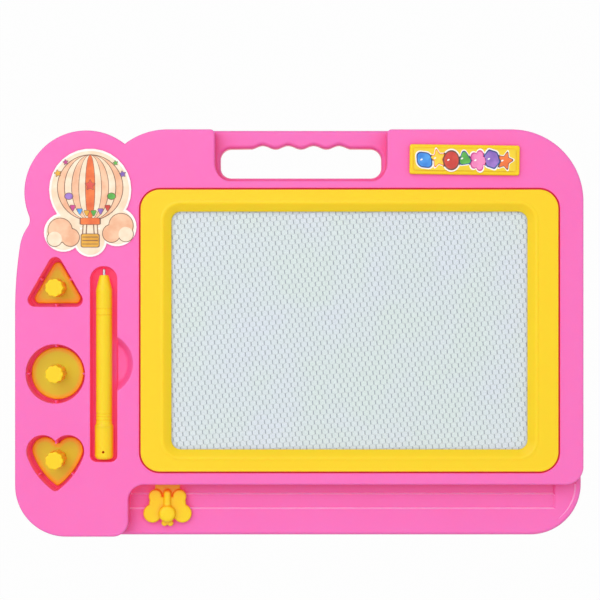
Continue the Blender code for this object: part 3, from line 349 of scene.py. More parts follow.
def mouldedPlastic(name, look):
    # flow of pigment, spark-eroded mould grain and fine handling scuffs, at their real sizes
    made, add, shader, place = newMaterial(name)
    flow = add("TexNoise", {"Vector": place, "Scale": perMillimetre(look.flowSize), "Detail": 3,
            "Roughness": 0.55})
    tint = add("Mix", {"Factor": flow, 6: look.deep, 7: look.light}, data_type="RGBA")
    # Painted shade and glow: by ambient occlusion the colour is mixed toward a darker hollow colour, and in
    # half-open hollows a painted glow (emission) stands in for light coming through the plastic.
    openness = add("AmbientOcclusion", {"Distance": look.hollowReach * mm}, samples=8)
    hollow = add("Math", {0: 1, 1: openness.outputs["AO"]}, operation="SUBTRACT")
    share = add("Math", {0: hollow, 1: look.hollowShare}, operation="MULTIPLY")
    colour = add("Mix", {"Factor": share, 6: tint.outputs[2], 7: look.hollow}, data_type="RGBA").outputs[2]
    ramp = add("ValToRGB", {"Fac": hollow})
    stops = ramp.color_ramp.elements
    stops[0].position, closed = paintedGlow.start, paintedGlow.closed
    stops[1].color = (closed, closed, closed, 1)
    for position, share in paintedGlow.stops:
        stops.new(position).color = (share, share, share, 1)
    glow = add("Math", {0: ramp, 1: look.glow}, operation="MULTIPLY")
    if "backed" in look:
        backing = add("Attribute", {}, attribute_name="backing")
        colour = add("Mix", {"Factor": backing.outputs["Fac"], 6: colour, 7: look.backed},
                data_type="RGBA").outputs[2]
    grain = add("TexNoise", {"Vector": place, "Scale": perMillimetre(look.grainSize), "Detail": 2})
    scuffPlace = add("Mapping", {"Vector": place, "Rotation": (0, 0, look.scuffAngle),
            "Scale": (1, look.scuffStretch, 1)})
    scuffs = add("TexNoise", {"Vector": scuffPlace, "Detail": 6, "Roughness": 0.7,
            "Scale": perMillimetre(look.scuffSize)})
    gloss = add("MapRange", {"Value": scuffs, "From Min": 0.42, "From Max": 0.7, "To Min": look.roughness,
            "To Max": look.roughness + look.scuffRoughness})
    bump = add("Bump", {"Height": grain, "Strength": look.grainStrength, "Distance": look.grainDepth * mm})
    feed(shader, {"Base Color": colour, "Roughness": gloss, "Normal": bump, "IOR": look.ior,
            "Subsurface Weight": look.depthShare, "Subsurface Radius": look.depthColour,
            "Subsurface Scale": look.depth * mm, "Emission Strength": glow,
            "Emission Color": look.glowColour})
    return made


# How the painted glow of a hollow goes with its depth: where it starts, then its share at each depth, last
# fully closed
paintedGlow = Values(start=0.7, stops=((0.77, 1), (0.84, 0.85), (0.92, 0.55)), closed=0.15)
# Injection-moulded ABS of the case: satin pink whose subsurface lets red light travel; its hollows also get
# a painted crimson shade and a painted red glow.
pinkLook = Values(light="F873C0", deep="F66DBA", flowSize=60, grainSize=0.5, grainDepth=0.05,
        grainStrength=0.2, roughness=0.36, scuffSize=9, scuffStretch=7, scuffAngle=0.5, scuffRoughness=0.1,
        ior=1.42, depthShare=0.35, depth=5, depthColour=(1, 0.13, 0.28), hollow="EC3076", hollowShare=0.9,
        hollowReach=30, glow=0.36, glowColour="FF5664")
# Injection-moulded ABS of the frame and knobs: warm yellow, a little glossier, whose hollows get a painted
# orange shade and a faint painted orange glow.
yellowLook = Values(pinkLook, light="F9D40E", deep="F7CF0A", flowSize=45, grainDepth=0.04,
        grainStrength=0.16, roughness=0.32, scuffSize=8, scuffStretch=6, scuffAngle=1.1, depth=4,
        depthColour=(1, 0.4, 0.05), hollow="F7A010", hollowShare=0.8, hollowReach=20, glow=0.2,
        glowColour="FF6A10")
pinkAbs = mouldedPlastic("pink_injection_moulded_abs", pinkLook)
yellowAbs = mouldedPlastic("yellow_injection_moulded_abs", yellowLook)
# Pink ABS with a painted highlight: a paler, glossier copy on the tray's step slopes and its right-end rim,
# where the edges catch the light.
highlightedPinkAbs = mouldedPlastic("pink_abs_painted_highlight",
        Values(pinkLook, light="FFA8DA", deep="FF9ED4", hollowShare=0, glow=0, roughness=0.25))
# Yellow ABS of the eraser, which sits in the tray's pink shade: a copy with a stronger, deeper orange-red
# painted shade in its hollows.
shadedAbs = mouldedPlastic("yellow_abs_in_pink_shade",
        Values(yellowLook, hollow="E8481C", hollowShare=1, hollowReach=17))
# The same yellow ABS where it is a thin plate over the dark magnet sheet, which greys it; its painted shade
# in hollows is a yellower orange and its painted glow fainter.
backedAbs = mouldedPlastic("yellow_abs_over_magnet",
        Values(yellowLook, backed="DED61E", hollow="F2A624", glow=0.04))


def cellFill():
    # Milky magnetic slurry behind the film: near white, with soft bluish and greenish clouds of powder.
    look = Values(cool="D9E0E9", warm="D7E3E0", cloudSize=34, speckSize=1.6, dark="C0CACF")
    made, add, shader, place = newMaterial("milky_magnetic_slurry")
    cloud = add("TexNoise", {"Vector": place, "Scale": perMillimetre(look.cloudSize), "Detail": 3})
    clouds = add("MapRange", {"Value": cloud, "From Min": 0.35, "From Max": 0.65})
    tint = add("Mix", {"Factor": clouds, 6: look.cool, 7: look.warm}, data_type="RGBA")
    speck = add("TexNoise", {"Vector": place, "Scale": perMillimetre(look.speckSize), "Detail": 4,
            "Roughness": 0.7})
    specks = add("MapRange", {"Value": speck, "From Min": 0.5, "From Max": 0.8, "To Max": 0.5})
    mixed = add("Mix", {"Factor": specks, 6: tint.outputs[2], 7: look.dark}, data_type="RGBA")
    feed(shader, {"Base Color": mixed.outputs[2], "Roughness": 0.5})
    return made


def cellWall(name, light, deep):
    # Translucent PVC of the honeycomb: greyer than the fill in bonded sheets, fainter in a single one.
    made, add, shader, place = newMaterial(name)
    drift = add("TexNoise", {"Vector": place, "Scale": perMillimetre(6), "Detail": 4})
    tint = add("Mix", {"Factor": drift, 6: deep, 7: light}, data_type="RGBA")
    feed(shader, {"Base Color": tint.outputs[2], "Roughness": 0.4})
    return made


def clearFilm(name, alpha, hexColour):
    # Calendered polyester film: nearly clear, glossy, with faint waviness and wiping marks.
    look = Values(waveSize=30, waveDepth=0.12, wipeSize=12, wipeStretch=9, roughness=0.16,
            wipeRoughness=0.15)
    made, add, shader, place = newMaterial(name)
    waves = add("TexNoise", {"Vector": place, "Scale": perMillimetre(look.waveSize)})
    bump = add("Bump", {"Height": waves, "Strength": 0.4, "Distance": look.waveDepth * mm})
    wipePlace = add("Mapping", {"Vector": place, "Scale": (1, look.wipeStretch, 1)})
    wipes = add("TexNoise", {"Vector": wipePlace, "Detail": 5, "Scale": perMillimetre(look.wipeSize)})
    gloss = add("MapRange", {"Value": wipes, "From Min": 0.4, "From Max": 0.75, "To Min": look.roughness,
            "To Max": look.roughness + look.wipeRoughness})
    feed(shader, {"Base Color": hexColour, "Alpha": alpha, "Roughness": gloss, "Normal": bump})
    return made


def zincSteel():
    # Zinc-plated and nickel-plated steel: bright, finely brushed by tumbling.
    made, add, shader, place = newMaterial("plated_steel")
    brushed = add("TexNoise", {"Vector": place, "Scale": perMillimetre(0.4), "Detail": 4})
    gloss = add("MapRange", {"Value": brushed, "To Min": 0.22, "To Max": 0.45})
    tint = add("Mix", {"Factor": brushed, 6: "B9BCC0", 7: "DDDEE0"}, data_type="RGBA")
    feed(shader, {"Base Color": tint.outputs[2], "Roughness": gloss, "Metallic": 1})
    return made


def ferriteSheet():
    # Rubber-bonded ferrite: dull charcoal with fine pale grains.
    made, add, shader, place = newMaterial("rubber_bonded_ferrite")
    grains = add("TexVoronoi", {"Vector": place, "Scale": perMillimetre(0.5)})
    tint = add("Mix", {"Factor": grains, 6: "2A2A2C", 7: "4A4644"}, data_type="RGBA")
    bump = add("Bump", {"Height": grains, "Strength": 0.3, "Distance": 0.05 * mm})
    feed(shader, {"Base Color": tint.outputs[2], "Normal": bump, "Roughness": 0.7})
    return made


def printedInk(name, light, deep):
    # Varnished offset print on vinyl: soft airbrushed shading between two tones under a satin coat.
    made, add, shader, place = newMaterial(name)
    shade = add("TexNoise", {"Vector": place, "Scale": perMillimetre(7), "Detail": 2})
    spread = add("MapRange", {"Value": shade, "From Min": 0.35, "From Max": 0.65})
    tint = add("Mix", {"Factor": spread, 6: deep, 7: light}, data_type="RGBA")
    orangePeel = add("TexNoise", {"Vector": place, "Scale": perMillimetre(1.2)})
    bump = add("Bump", {"Height": orangePeel, "Strength": 0.15, "Distance": 0.03 * mm})
    feed(shader, {"Base Color": tint.outputs[2], "Normal": bump, "Roughness": 0.28})
    return made


slurry = cellFill()
bondedPvc = cellWall("bonded_pvc_honeycomb_walls", "A2ACB2", "89949B")
singlePvc = cellWall("single_pvc_honeycomb_walls", "C8D0D4", "BAC4C8")
frontFilm = clearFilm("clear_polyester_film", 0.08, "F4F8FA")
backFilm = clearFilm("milky_polyester_film", 0.85, "DCE4E6")
steel = zincSteel()
ferrite = ferriteSheet()
inkTones = {"white": ("FCF8F5", "F6EFEB"), "cream": ("FAE8CE", "F2D6B6"), "peach": ("F6C8A4", "EEB08A"),
        "brown": ("8A5A44", "6E4434"), "gold": ("EDB23A", "DB9A2C"), "magenta": ("DC4A90", "C23E8C"),
        "blue": ("58ACF4", "3482DA"), "navy": ("33569A", "283F7C"), "green": ("62BC4E", "46983A"),
        "purple": ("A47CD0", "7C58B0"), "red": ("E65646", "C83A30"), "orange": ("F47C3A", "E2602C"),
        "yellow": ("FCE04A", "F0C832"), "pink": ("F48CC0", "E86CAA"), "ground": ("F5D42C", "EFCA22")}
inks = {name: printedInk(f"varnished_{name}_print", *tones) for name, tones in inkTones.items()}
print("finishes made")


# Sizes of the case, in mm. The overall box comes from the frame.
shellHigh = boxOf("front_shell")[1]
halfWidth = shellHigh.x
halfDepth = shellHigh.y
faceTop = shellHigh.z
case = Values(lipTop=9.5, wall=2, faceRounding=1.3, lipRounding=2.4, gap=0.3, footRadius=32.4,
        topRightRadius=45.6, blockRadius=44.3, blockInset=10.7, lobeRadius=39.2, lobeInset=45.1,
        lobeDrop=0.7, waistRadius=7.6, shoulderRadius=29, shoulderHeight=34.1, flankRadius=268,
        flankHeight=74.5, trayDepth=32.9, panelWidth=71.8, panelRadius=10, ledgeRadius=11.4, nearBand=7.2,
        farBand=16.4, trayStep=1, trayEnd=15, rampLength=3, gripWidth=102.9, gripShift=1.1, gripBar=11.5,
        gripOpening=18.9, gripRadius=7, gripRim=2.6, gripLowerRim=0.5, waveDepth=2.3, wavePitch=16.3,
        waveCount=4, waveSteps=14, bayMargin=3.1, bayLedge=0.8, bayMouthRadius=3, bayInnerRadius=9.5,
        endDish=4, endDishRim=2.9, endDishFlare=1.3, endDishHeight=5, endDishPivot=2, recessRim=0.5,
        edgeBreak=(0.4, 0.12), coverEdgeBreak=(0.35, 0.1), eraserSlot=2.4, stepLean=0.3, rimLean=0.1)

lobeX = case.lobeInset - halfWidth
lobeY = halfDepth - case.lobeDrop - case.lobeRadius
gripLeft = case.gripShift - case.gripWidth / 2
gripRight = case.gripShift + case.gripWidth / 2
gripTop = halfDepth - case.gripBar
gripBottom = gripTop - case.gripOpening
bayLeft = gripLeft - case.bayMargin
bayRight = gripRight + case.bayMargin
blockX = (lobeX + bayLeft) / 2 + case.blockInset
blockY = halfDepth - case.blockRadius
flankY = lobeY - case.flankHeight
ledgeY = case.trayDepth - halfDepth
panelRight = case.panelWidth - halfWidth


def meetingPoint(first, firstRadius, second, secondRadius, left):
    # where two circles cross, on the left or right of the way from the first centre to the second
    way = Vector(second) - Vector(first)
    along = (way.length_squared + firstRadius ** 2 - secondRadius ** 2) / (2 * way.length)
    aside = sqrt(firstRadius ** 2 - along ** 2)
    way.normalize()
    across = Vector((-way.y, way.x)) * (aside if left else -aside)
    return Vector(first) + way * along + across


def angleTo(centre, point):
    return atan2(point[1] - centre[1], point[0] - centre[0])


def leftAndTopStrokes():
    # over the block's corner, the lobe, its waist and the shoulder, and down the flank
    block = (blockX, blockY)
    lobe = (lobeX, lobeY)
    lobeRadius = case.lobeRadius
    notch = meetingPoint(lobe, lobeRadius, block, case.blockRadius, True)
    flank = (case.flankRadius - halfWidth, flankY)
    rise = asin((case.flankHeight - case.shoulderHeight) / case.flankRadius)
    depth = case.flankRadius - case.shoulderRadius
    shoulder = (flank[0] - depth * cos(rise), flank[1] + depth * sin(rise))
    waist = meetingPoint(lobe, lobeRadius + case.waistRadius, shoulder,
            case.shoulderRadius + case.waistRadius, False)
    toLobe = angleTo(waist, lobe)
    toShoulder = angleTo(waist, shoulder)
    notchFromBlock = angleTo(block, notch)
    notchFromLobe = angleTo(lobe, notch)
    waistFromLobe = angleTo(lobe, waist) % tau
    waistFromShoulder = angleTo(shoulder, waist) % tau
    short = 0.0005      # both arcs stop just short of the notch, so that it keeps two points as it grows
    return [(*block, case.blockRadius, quarter, notchFromBlock - quarter - short),
            (*lobe, lobeRadius, notchFromLobe + short, waistFromLobe - notchFromLobe - short),
            (*waist, case.waistRadius, toLobe, toShoulder - toLobe),
            (*shoulder, case.shoulderRadius, waistFromShoulder, pi - rise - waistFromShoulder),
            (*flank, case.flankRadius, pi - rise, rise)]


def caseStrokes():
    corners = [(-halfWidth, -halfDepth, case.footRadius), (halfWidth, -halfDepth, case.footRadius),
            (halfWidth, halfDepth, case.topRightRadius)]
    return roundedStrokes(corners, (-halfWidth, flankY), (blockX, halfDepth)) + leftAndTopStrokes()


def faceStrokes():
    # the raised part: all but the tray and the bay that the handle lies in
    bayBottom = gripBottom - case.bayLedge
    corners = [(-halfWidth, -halfDepth, case.footRadius), (panelRight, -halfDepth, case.panelRadius),
            (panelRight, ledgeY, case.panelRadius), (halfWidth, ledgeY, case.ledgeRadius),
            (halfWidth, halfDepth, case.topRightRadius), (bayRight, halfDepth, case.bayMouthRadius),
            (bayRight, bayBottom, case.bayInnerRadius), (bayLeft, bayBottom, case.bayInnerRadius),
            (bayLeft, halfDepth, case.bayMouthRadius)]
    return roundedStrokes(corners, (-halfWidth, flankY), (blockX, halfDepth)) + leftAndTopStrokes()


def gripStrokes(growth=0):
    # The hand hole, with finger waves on its upper side. The lower side hardly grows, as it's near a wall.
    left, right = gripLeft - growth, gripRight + growth
    low = gripBottom - min(growth, case.gripLowerRim) if growth < case.wall else gripBottom - growth
    high = gripTop + growth
    strokes = rectangleStrokes((left, low), (right, high), case.gripRadius + growth)
    span = case.wavePitch * case.waveCount
    steps = case.waveSteps * case.waveCount
    waves = []
    for index in range(1, steps):
        share = index / steps
        rise = (1 - cos(tau * share * case.waveCount)) / 2
        waves.append((case.gripShift + span * (0.5 - share), high + case.waveDepth * rise, 0, 0, 0))
    return strokes[:3] + waves + strokes[3:]


# The stamps' outlines, shared by their recesses and their plates. The plates' points are rounder by "soft".
stamp = Values(triangleSide=41.2, triangleRadius=4.4, circleRadius=18.7, pitch=54.5, lobeRadius=10.2,
        lobeOffset=8.05, lobeRise=5.5, tipRadius=3, tipDrop=16.6, flankRadius=46, gap=2, soft=0.9, floor=4.6,
        foot=0.8, plateRounding=0.9, plateThickness=2.2, rimBand=0.6, fadeBand=2, fadeSoft=1.1, knobBase=7.1,
        lobeCount=9, lobeCentre=3.7, lobeBulge=2.1, knobRounding=0.8, ribWidth=0.9, ribHeight=12)
stampX, circleY, _ = middleOf("circle_stamp")
triangleY = circleY + stamp.pitch
heartY = circleY - stamp.pitch


def triangleStrokes(growth=0, soft=0):
    inner = stamp.triangleSide / (2 * sqrt(3))
    halfSide = stamp.triangleSide / 2
    radius = stamp.triangleRadius + soft
    corners = [(stampX - halfSide, triangleY - inner, radius),
            (stampX + halfSide, triangleY - inner, radius), (stampX, triangleY + 2 * inner, radius)]
    return grown(roundedStrokes(corners), growth)


def circleStampStrokes(growth=0, soft=0):
    return circleStrokes(stampX, circleY, stamp.circleRadius + growth)


def heartFlank(soft=0):
    # the flank's arc bends round a lobe and the tip: its centre, the tip's height and the arc's two ends
    lobe = Vector((stamp.lobeOffset, stamp.lobeRise))
    way = Vector((0, -stamp.tipDrop)) - lobe
    toLobe = stamp.flankRadius - stamp.lobeRadius
    toTip = stamp.flankRadius - stamp.tipRadius
    along = (toLobe ** 2 - toTip ** 2 + way.length_squared) / (2 * way.length)
    inward = Vector((way.y, -way.x)).normalized() * sqrt(toLobe ** 2 - along ** 2)
    centre = lobe + way.normalized() * along + inward
    tipY = centre.y - sqrt((toTip - soft) ** 2 - centre.x ** 2)
    return centre, tipY, atan2(tipY - centre.y, -centre.x), atan2(*(lobe - centre).yx)


def heartStrokes(growth=0, soft=0):
    lobe = stamp.lobeRadius + growth
    offset = stamp.lobeOffset
    lobeY = heartY + stamp.lobeRise
    centre, tipY, low, high = heartFlank(soft)
    flank = stamp.flankRadius + growth
    cleft = acos(-offset / max(lobe, stamp.lobeRadius))
    strokes = [(stampX, heartY + tipY, stamp.tipRadius + soft + growth, -pi - low, pi + 2 * low),
            (stampX + centre.x, heartY + centre.y, flank, low, high - low),
            (stampX + offset, lobeY, lobe, high, cleft - high)]
    if growth < 0:      # the cleft widens to an arc as the heart shrinks
        notchY = lobeY + stamp.lobeRadius * sin(cleft)
        strokes.append((stampX, notchY, -growth, cleft - pi, pi - 2 * cleft))
    strokes.append((stampX - offset, lobeY, lobe, pi - cleft, cleft - high))
    strokes.append((stampX - centre.x, heartY + centre.y, flank, pi - high, high - low))
    return strokes


stampOutlines = {"triangle": triangleStrokes, "circle": circleStampStrokes, "heart": heartStrokes}
stampFeet = {"triangle": stamp.foot, "circle": stamp.foot, "heart": 0}


def ribEnds():
    # where each rib leaves the recess's wall, and the way it points
    inner = stamp.triangleSide / (2 * sqrt(3))
    slope = radians(30)
    ribs = [(stampX, triangleY - inner, quarter),
            (stampX - inner * cos(slope), triangleY + inner * sin(slope), -slope),
            (stampX + inner * cos(slope), triangleY + inner * sin(slope), pi + slope)]
    radius = stamp.circleRadius
    for index in range(4):
        angle = quarter * index
        ribs.append((stampX + radius * cos(angle), circleY + radius * sin(angle), angle + pi))
    cleft = stamp.lobeRise + sqrt(stamp.lobeRadius ** 2 - stamp.lobeOffset ** 2)
    ribs.append((stampX, heartY + cleft, -quarter))
    centre, _, low, high = heartFlank()
    lean = (low + high) / 2
    middle = centre + Vector((cos(lean), sin(lean))) * stamp.flankRadius
    ribs.append((stampX + middle.x, heartY + middle.y, pi + lean))
    ribs.append((stampX - middle.x, heartY + middle.y, -lean))
    return ribs


# The pen's slot and the finger dish beside it
penX, _, penZ = middleOf("pen_barrel")
penTailY = boxOf("pen_tail_cap")[0].y
penTipY = boxOf("pen_tip_pin")[1].y
slot = Values(width=17.1, endGap=1.35, footRadius=4.1, floor=10.5, foot=1.5, dishRadius=19.8, dishShift=1.2,
        dishRise=61.9, dishFloor=12.7, dishSlope=3.2, dishFoot=2.6, dishRim=0.9)


def slotStrokes(growth=0):
    left = penX - slot.width / 2
    right = penX + slot.width / 2
    low = penTailY - slot.endGap
    high = penTipY + slot.endGap
    head = slot.width / 2 - case.gap
    corners = [(left, low, slot.footRadius), (right, low, slot.footRadius), (right, high, head),
            (left, high, head)]
    return grown(roundedStrokes(corners), growth)


def dishProfile():
    # a shallow cone with a hollow foot and a rounded rim, both drawn in shares of their size
    floor, foot, rim, radius = (slot[name] for name in ("dishFloor", "dishFoot", "dishRim", "dishRadius"))
    base = radius - slot.dishSlope
    bends = [(base + foot * out, floor + foot * up)
            for out, up in ((-1, 0), (-0.55, 0.08), (-0.2, 0.3), (0.06, 0.65))]
    bends += [(radius + rim * out, faceTop - rim * down)
            for out, down in ((-0.5, 1), (-0.2, 0.45), (0.3, 0.1), (1, 0))]
    return [(0, floor), *bends, (radius + rim, faceTop + reach), (0, faceTop + reach)]


def dishTool(profile):
    # the part of the turned dish that lies right of the pen's middle
    bm = moved(turned(profile, (0, 0, 1)), penX - slot.dishShift, penTailY - slot.endGap + slot.dishRise)
    ops.contextual_create(bm, geom=sliced(bm, (penX, 0), (-1, 0)))
    ops.recalc_face_normals(bm, faces=bm.faces)
    return bm


screwCentres = []
for index in range(1, 12):
    low, high = boxOf(f"rear_screw_{index}")
    screwCentres.append(((low.x + high.x) / 2, (low.y + high.y) / 2))

bezelLow, bezelHigh = boxOf("bezel_frame")
coreLow, coreHigh = boxOf("honeycomb_core")
windowX, windowY, _ = middleOf("bezel_frame")
bezel = Values(gap=1, radius=12.3, sideRail=19.4, endRail=13.9, openingRadius=6, slopeWidth=4.5,
        slopeDrop=3.035, lip=0.6, rounding=0.8, bead=0.3, beadWidth=2.6, flangeTop=14.065,
        flangeBottom=12.565, flangeOverlap=3.2, flangeRadius=3, seatRim=0.3, overlap=4.5)


def seatStrokes(growth=0):
    return grown(rectangleStrokes(bezelLow, bezelHigh, bezel.radius), bezel.gap + growth)


def paintSteps(shell, channelRight):
    # the faces that get the painted highlight: the slopes between the tray's levels and the rim at its right
    # end
    lip, step = case.lipTop, case.trayStep
    for face in shell.faces:
        centre = face.calc_center_median()
        inTray = centre.y < ledgeY and lip - 2 * case.endDishRim < centre.z < lip + reach
        atStep = any(abs(centre.y - ledgeY + case[band] - step / 2) < step
                for band in ("nearBand", "farBand"))
        # steps lean to the far side, and the rim leans to the left
        onStep = atStep and centre.x < channelRight and face.normal.y > case.stepLean
        onRim = centre.x > channelRight and face.normal.x < -case.rimLean
        if inTray and (onStep or onRim):
            face.material_index = 1


def makeFrontShell():
    wall, lip, step, rim, mouth = (case[name] for name in ("wall", "lipTop", "trayStep", "endDishRim",
            "recessRim"))
    inFace = faceTop - wall / 2
    nearTop, farTop = lip - 2 * step, lip - step
    channelRight = halfWidth - case.trayEnd
    outline = caseStrokes()
    flare = case.endDishFlare
    endDish = stack(grownLoops(outline, [(-rim - flare, lip), (-rim, lip + flare),
            (-rim, lip + case.endDishHeight)]))
    ops.rotate(endDish, cent=(channelRight - case.endDishPivot, 0, lip), verts=endDish.verts,
            matrix=Matrix.Rotation(radians(case.endDish), 3, "Y"))
    channels = []
    for index, (band, floor) in enumerate((("farBand", farTop), ("nearBand", nearTop)), 1):
        channel = box((panelRight - reach, ledgeY - case[band] + step, floor),
                (channelRight, ledgeY + index * reach, lip + index * reach))
        # the near side slopes evenly, and the floor rises to the lip in a ramp at the right end
        slope = [vert for vert in channel.verts if vert.co.y < ledgeY and vert.co.z > lip]
        ops.translate(channel, vec=(0, floor - lip - index * reach, 0), verts=slope)
        ramp = [vert for vert in channel.verts if vert.co.x > 0 and vert.co.z < lip]
        ops.translate(channel, vec=(-case.rampLength, 0, 0), verts=ramp)
        channels.append(channel)
    shell = combined(
        stack([*softened(outline, *case.edgeBreak), *eased(outline, lip, case.lipRounding)]),
        *[(cut, channel) for channel in channels], (cut, endDish))
    lowHollow = combined(prism(grown(outline, -wall), -2 * reach, nearTop - wall),
                         (cut, prism(gripStrokes(wall), -3 * reach, faceTop)))
    cupFloor = slot.dishFloor - wall
    dishCup = [(0, cupFloor), (slot.dishRadius - slot.dishSlope + wall, cupFloor),
            (slot.dishRadius + wall, inFace), (0, inFace)]
    shell = combined(
        shell,
        (join, prism(faceStrokes(), wall / 2, faceTop, case.faceRounding)),
        (cut, prism(grown(faceStrokes(), -wall), -reach, faceTop - wall)),
        (cut, lowHollow),
        (cut, box((gripLeft, gripTop + case.waveDepth + wall, -3 * reach),
                  (gripRight, halfDepth - wall, lip - wall))),
        *[(join, prism(outline(wall), stamp.floor - wall, inFace)) for outline in stampOutlines.values()],
        (join, prism(slotStrokes(wall), slot.floor - wall, inFace)),
        (join, dishTool(dishCup)),
        (join, prism(seatStrokes(wall), bezel.flangeBottom, inFace)))
    window = rectangleStrokes(coreLow, coreHigh, bezel.flangeRadius, [bezel.flangeOverlap] * 2)
    shell = combined(
        shell,
        *[(cut, recess(outline, stamp.floor, faceTop, mouth, stampFeet[name]))
          for name, outline in stampOutlines.items()],
        (cut, recess(slotStrokes(), slot.floor, faceTop, mouth, slot.foot)),
        (cut, dishTool(dishProfile())),
        (cut, recess(seatStrokes(), bezel.flangeTop, faceTop, bezel.seatRim)),
        (cut, prism(window, bezel.flangeBottom - reach, bezel.flangeTop + reach)),
        (cut, stack([(gripStrokes(), -4 * reach), *gripRims(lip),
                     (gripStrokes(case.gripRim - weld), faceTop + reach)])))
    ribs = []
    for x, y, angle in ribEnds():
        rib = box((-wall / 2, -stamp.ribWidth / 2, stamp.floor - wall / 2),
                (stamp.gap - case.gap, stamp.ribWidth / 2, stamp.floor + stamp.ribHeight))
        ribs.append(moved(rib, x, y, 0, angle))
    knobLow, knobHigh = boxOf("eraser_knob")
    travel = next(joint["range_m"][1] for joint in frame["record"]["behaviour"]["joints"]
            if joint["name"] == "eraser_slide") / mm
    play = 2 * case.gap
    shell = combined(
        shell,
        (join, gathered(ribs)),
        (cut, box((knobLow.x - play, ledgeY - reach, farTop),
                  (knobHigh.x + travel + play, ledgeY + wall + reach, farTop + case.eraserSlot))))
    paintSteps(shell, channelRight)
    finishPiece("frontShell", shell, "board", [pinkAbs, highlightedPinkAbs], ["front_shell"])


def gripRims(lip):
    # loops that round the bar's and the hole's edge over, down to the tray's level
    rim = case.gripRim
    return [(gripStrokes(min(rim * (1 - cos(turn)), rim - weld)), lip - rim * (1 - sin(turn)))
            for turn in quarterTurns(6)]


makeFrontShell()


def makeBezel():
    top = bezelHigh.z
    outer = rectangleStrokes(bezelLow, bezelHigh, bezel.radius)
    opening = rectangleStrokes(bezelLow, bezelHigh, bezel.openingRadius, (bezel.sideRail, bezel.endRail))
    inner = top - bezel.slopeDrop
    under = inner - bezel.lip
    foot = bezel.flangeTop + case.gap
    slope, width, bead = bezel.slopeWidth, bezel.beadWidth, bezel.bead

    def flank(*bends):
        # a side of the bead, in shares of its width and height
        return [(slope + width * out, top + bead * up) for out, up in bends]

    mesa = [(slope + width, under), *flank((1, 0), (0.85, 0.2), (0.7, 0.65), (0.5, 1)),
            (slope, top + bead + hair)]
    # the slope bends by parts of a millimetre at its foot and at the bead
    hollow = [(0, under - reach), (0, inner - 0.12), (0.25, inner + 0.12), (0.7, inner + 0.42),
            (slope - 0.5, top - 0.45), *flank((0, 0.1), (0.25, 0.85), (0.4, 1)),
            (slope + width * 0.4, top + reach)]
    frameRing = combined(
        prism(outer, foot, top, bezel.rounding),
        (join, stack(grownLoops(opening, mesa))),
        (cut, stack(grownLoops(opening, hollow))),
        (cut, prism(grown(opening, bezel.overlap + case.gap), foot - reach, under)))
    finishPiece("bezelFrame", frameRing, "board", [yellowAbs], ["bezel_frame"])


makeBezel()


def makeHoneycomb():
    # six-sided cells whose upright walls are two sheets bonded together, and whose slanted walls are one
    cell = Values(pitch=4.19, rowPitch=3.12, wallHalf=1.27, tilt=radians(5), bonded=0.36, single=0.12,
            slope=0.22, sink=0.25, columns=62, rows=60, chamfer=3, tipShare=0.7, weld=0.01)
    thickness = coreHigh.z - coreLow.z
    half = cell.pitch / 2
    tip = cell.rowPitch - cell.wallHalf
    bm = bmesh.new()
    rings = []
    for aside, along, sink in ((0, 0, 0), (cell.bonded, cell.single, hair),
            (cell.bonded + cell.slope, cell.single + cell.slope, cell.sink)):
        x, low, high = half - aside, cell.wallHalf - along / 2, tip - along
        places = [(0, high), (-x, low), (-x, -low), (0, -high), (x, -low), (x, low)]
        verts = [bm.verts.new((*place, thickness - sink)) for place in places]
        rings.append([bm.edges.new(pair) for pair in zip(verts, verts[1:] + verts[:1])])
    for outer, inner in zip(rings, rings[1:]):
        ops.bridge_loops(bm, edges=outer + inner)
    ops.contextual_create(bm, geom=rings[2])
    for face in bm.faces:
        centre = face.calc_center_median()
        if centre.z < thickness - 2 * hair:
            face.material_index = 2
        elif abs(centre.x) < half * cell.tipShare:
            face.material_index = 1
    single = bm.faces[:]
    for column in range(1, cell.columns):
        copy = ops.duplicate(bm, geom=single)["geom"]
        ops.translate(bm, vec=(column * cell.pitch, 0, 0), verts=vertsOf(copy))
    row = bm.faces[:]
    for index in range(1, cell.rows):
        copy = ops.duplicate(bm, geom=row)["geom"]
        ops.translate(bm, vec=(half * (index % 2), index * cell.rowPitch, 0), verts=vertsOf(copy))
    ops.remove_doubles(bm, verts=bm.verts, dist=cell.weld)
    moved(bm, -cell.columns * half, -cell.rows * cell.rowPitch / 2)
    moved(bm, windowX, windowY, 0, cell.tilt)
    sides = [((coreLow.x, 0), (-1, 0)), ((coreHigh.x, 0), (1, 0)), ((0, coreLow.y), (0, -1)),
            ((0, coreHigh.y), (0, 1))]
    for x, signX in ((coreLow.x, -1), (coreHigh.x, 1)):
        for y, signY in ((coreLow.y, -1), (coreHigh.y, 1)):
            sides.append(((x - signX * cell.chamfer, y), (signX, signY)))
    for place, way in sides:
        sliced(bm, place, way)
    border = [edge for edge in bm.edges if edge.is_boundary]
    lowered = ops.extrude_edge_only(bm, edges=border)["geom"]
    ops.scale(bm, vec=(1, 1, 0), verts=vertsOf(lowered))
    ops.contextual_create(bm, geom=[edge for edge in bm.edges if edge.is_boundary])
    ops.translate(bm, vec=(0, 0, coreLow.z), verts=bm.verts)
    ops.recalc_face_normals(bm, faces=bm.faces)
    finishPiece("honeycombCells", bm, "board", [bondedPvc, singlePvc, slurry],
            ["honeycomb_core"])


makeHoneycomb()
print("screen made")


